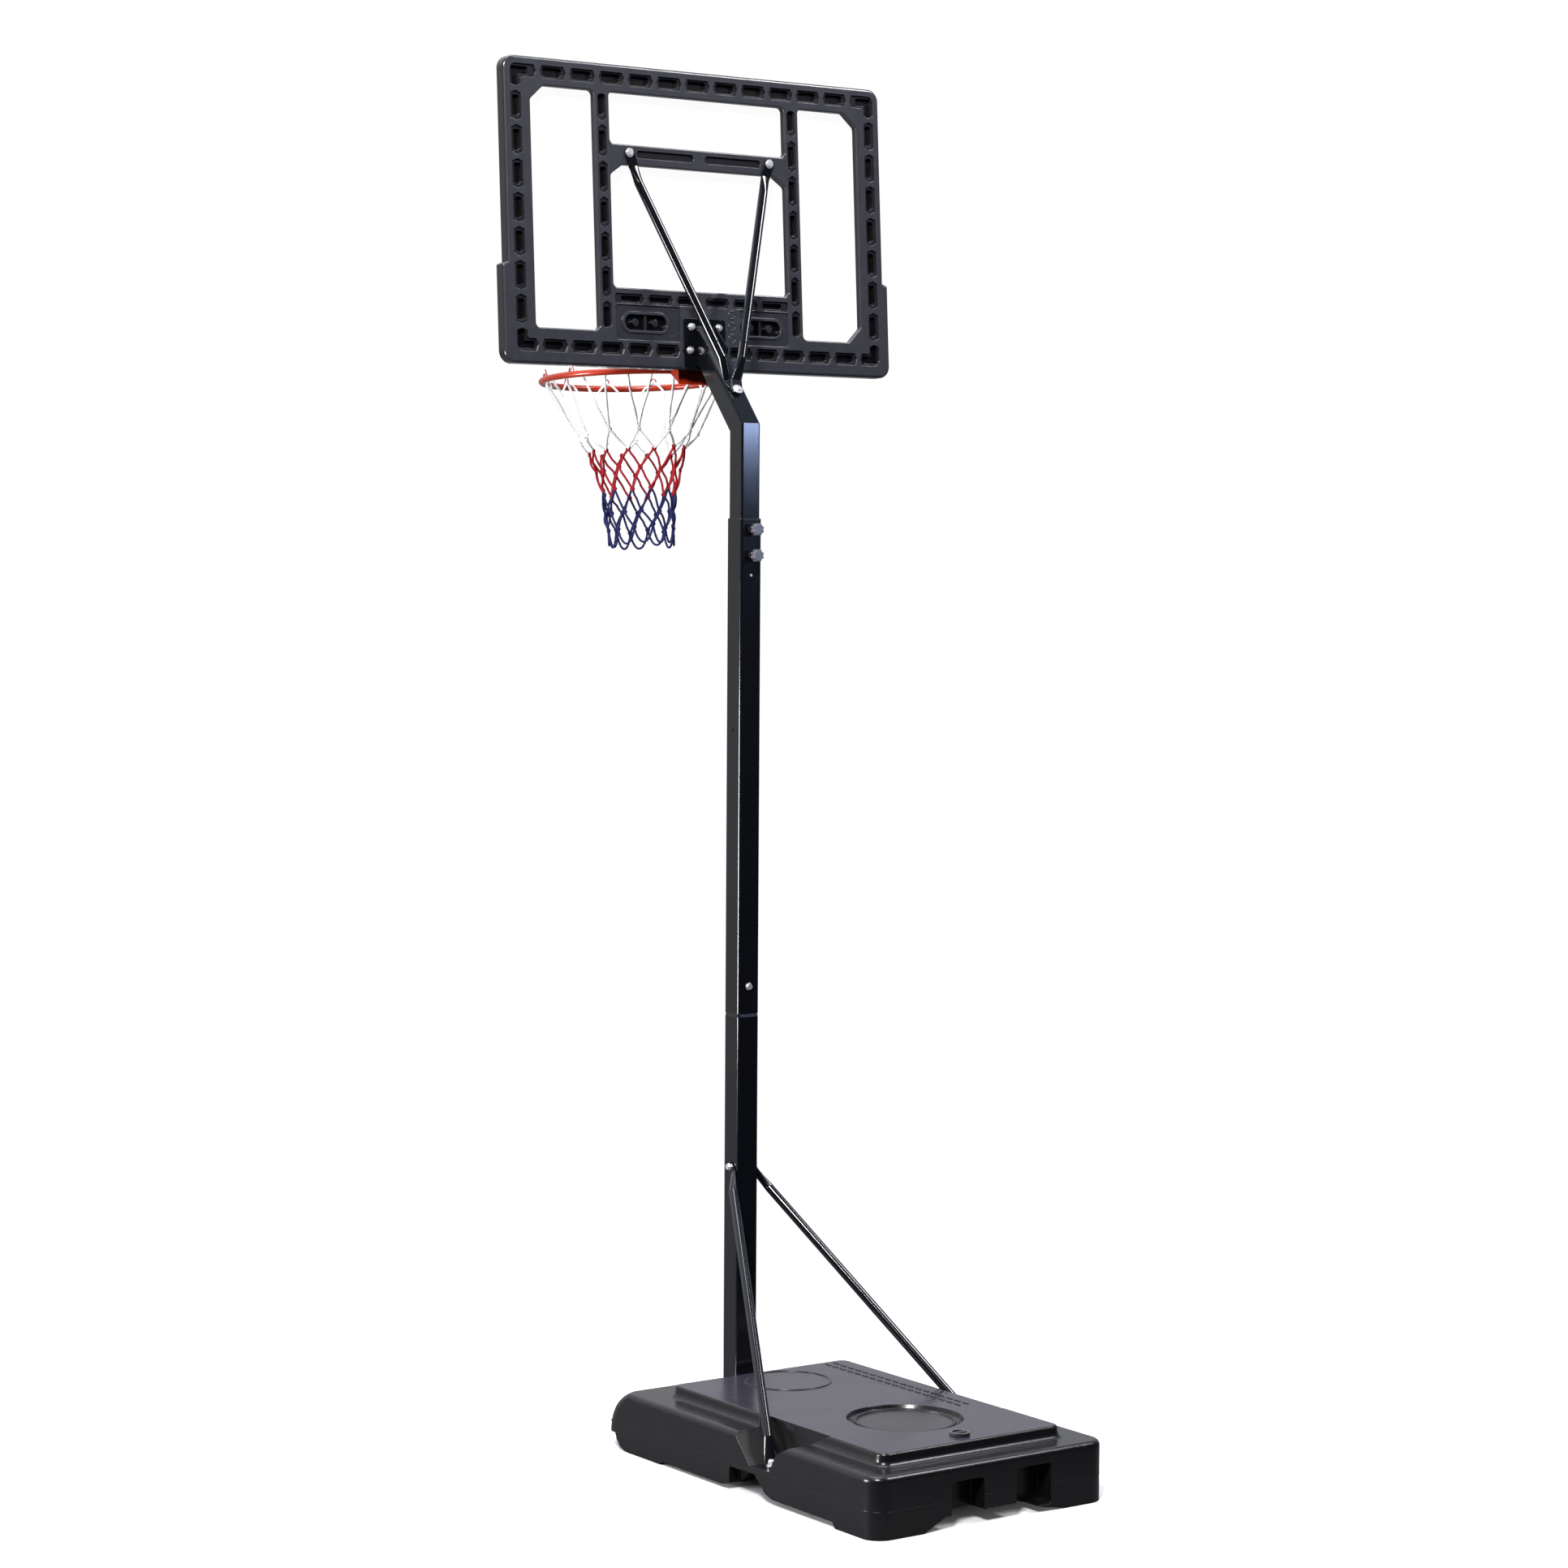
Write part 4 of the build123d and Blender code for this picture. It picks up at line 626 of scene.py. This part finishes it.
# ------------------------------------------------------------------- stage
floor_mesh = bpy.data.meshes.new("floor")
ring_n = 96
S = 4.0
floor_mesh.from_pydata([(S * math.cos(2 * math.pi * i / ring_n), S * math.sin(2 * math.pi * i / ring_n), 0)
                        for i in range(ring_n)], [], [tuple(range(ring_n))])
floor = bpy.data.objects.new("floor", floor_mesh)
floor.location = (0, 0.3, -0.0005)
scene.collection.objects.link(floor)
ft = Tree("floor_paper")
floor_lp = ft.node("ShaderNodeLightPath")
ft.base(ft.mix(floor_lp.outputs["Is Camera Ray"], (0.13, 0.13, 0.135),
               ft.mix(ft.noise(0.8, 3, 0.5), (0.86, 0.86, 0.86), (0.90, 0.90, 0.90))))
ft.set(rough=0.9, spec=0.1)
ft.bump((ft.noise(300.0, 2, 0.5), 0.0001))
grad = ft.node("ShaderNodeVectorMath", operation="LENGTH")
ft.link(ft.coord, grad.inputs[0])
fade = ft.node("ShaderNodeMapRange", interpolation_type="SMOOTHSTEP")
fade.inputs["From Min"].default_value = 0.45
fade.inputs["From Max"].default_value = 1.75
fade.inputs["To Min"].default_value = 1.0
fade.inputs["To Max"].default_value = 0.0
ft.link(grad.outputs["Value"], fade.inputs[0])
ft.link(fade.outputs[0], ft.bsdf.inputs["Alpha"])
floor.data.materials.append(ft.mat)

world = bpy.data.worlds.new("studio")
scene.world = world
world.use_nodes = True
wn = world.node_tree
wn.nodes.clear()


def wnode(kind, **props):
    n = wn.nodes.new(kind)
    for k, v in props.items():
        setattr(n, k, v)
    return n


w_out = wnode("ShaderNodeOutputWorld")
bg_cam = wnode("ShaderNodeBackground")
bg_cam.inputs[0].default_value = (1, 1, 1, 1)
bg_cam.inputs[1].default_value = 1.02
bg_light = wnode("ShaderNodeBackground")
tc = wnode("ShaderNodeTexCoord")
sp = wnode("ShaderNodeSeparateXYZ")
wn.links.new(tc.outputs["Generated"], sp.inputs[0])


def wmath(op, a, b):
    n = wnode("ShaderNodeMath", operation=op)
    for val, sock in ((a, n.inputs[0]), (b, n.inputs[1])):
        if isinstance(val, (int, float)):
            sock.default_value = val
        else:
            wn.links.new(val, sock)
    return n.outputs[0]


# a white wall beyond the hoop (towards -Y) and a dim room behind the camera
far = wnode("ShaderNodeMapRange", interpolation_type="SMOOTHSTEP")
far.inputs["From Min"].default_value = -0.55
far.inputs["From Max"].default_value = 1.0
far.inputs["To Min"].default_value = WORLD_BACK
far.inputs["To Max"].default_value = WORLD_FRONT
wn.links.new(wmath("MULTIPLY", sp.outputs[1], -1.0), far.inputs[0])
high = wnode("ShaderNodeMapRange", interpolation_type="SMOOTHSTEP")
high.inputs["From Min"].default_value = -0.25
high.inputs["From Max"].default_value = 0.9
high.inputs["To Min"].default_value = 0.30
high.inputs["To Max"].default_value = 1.25
wn.links.new(sp.outputs[2], high.inputs[0])
wn.links.new(wmath("MULTIPLY", far.outputs[0], high.outputs[0]), bg_light.inputs[1])
tint = wnode("ShaderNodeMix", data_type="RGBA")
tint.inputs[6].default_value = (0.42, 0.56, 1.0, 1)
tint.inputs[7].default_value = (0.97, 0.975, 1.0, 1)
wn.links.new(wmath("MULTIPLY", far.outputs[0], 1.0 / WORLD_FRONT), tint.inputs[0])
wn.links.new(tint.outputs[2], bg_light.inputs[0])
lp = wnode("ShaderNodeLightPath")
mixw = wnode("ShaderNodeMixShader")
wn.links.new(lp.outputs["Is Camera Ray"], mixw.inputs[0])
wn.links.new(bg_light.outputs[0], mixw.inputs[1])
wn.links.new(bg_cam.outputs[0], mixw.inputs[2])
wn.links.new(mixw.outputs[0], w_out.inputs[0])


def area(name, loc, target, size, power, color=(1, 1, 1), size_y=None):
    d = bpy.data.lights.new(name, "AREA")
    d.energy = power
    d.size = size
    if size_y:
        d.shape = "RECTANGLE"
        d.size_y = size_y
    d.color = color
    o = bpy.data.objects.new(name, d)
    o.location = loc
    o.rotation_euler = (Vector(target) - Vector(loc)).to_track_quat("-Z", "Y").to_euler()
    scene.collection.objects.link(o)
    return o


area("key_high", (4.5, 4.5, 6.8), (0, 0, 1.8), 1.6, 900)
area("fill_high", (-4.2, 3.6, 7.0), (0, 0, 1.8), 2.2, 360)
area("top_soft", (0.0, -1.0, 7.5), (0, 0, 0), 4.0, 240)
area("net_side", (5.0, -1.2, 1.0), (0, -0.45, 2.4), 1.4, 300)
glint = area("bend_glint", (-3.4, 4.95, 2.80), (0, 0, 2.40), 0.7, 16, color=(0.46, 0.60, 1.0), size_y=0.34)
receivers = bpy.data.collections.new("glint_receivers")
for name in ("top_tube", "middle_pole", "lower_pole", "v_strut_left", "v_strut_right", "strut_tube_bolt", "clamp_head_upper",
             "clamp_head_lower"):
    receivers.objects.link(nodes[name])
glint.light_linking.receiver_collection = receivers
shine = area("zinc_glint", (2.6, 4.8, 3.4), (0, 0, 2.5), 0.9, 60)
zinc_parts = bpy.data.collections.new("zinc_receivers")
for name in ("strut_tube_bolt", "strut_board_screws", "rim_bolts", "rim_nuts", "brace_top_bolt", "brace_foot_nuts"):
    zinc_parts.objects.link(nodes[name])
shine.light_linking.receiver_collection = zinc_parts
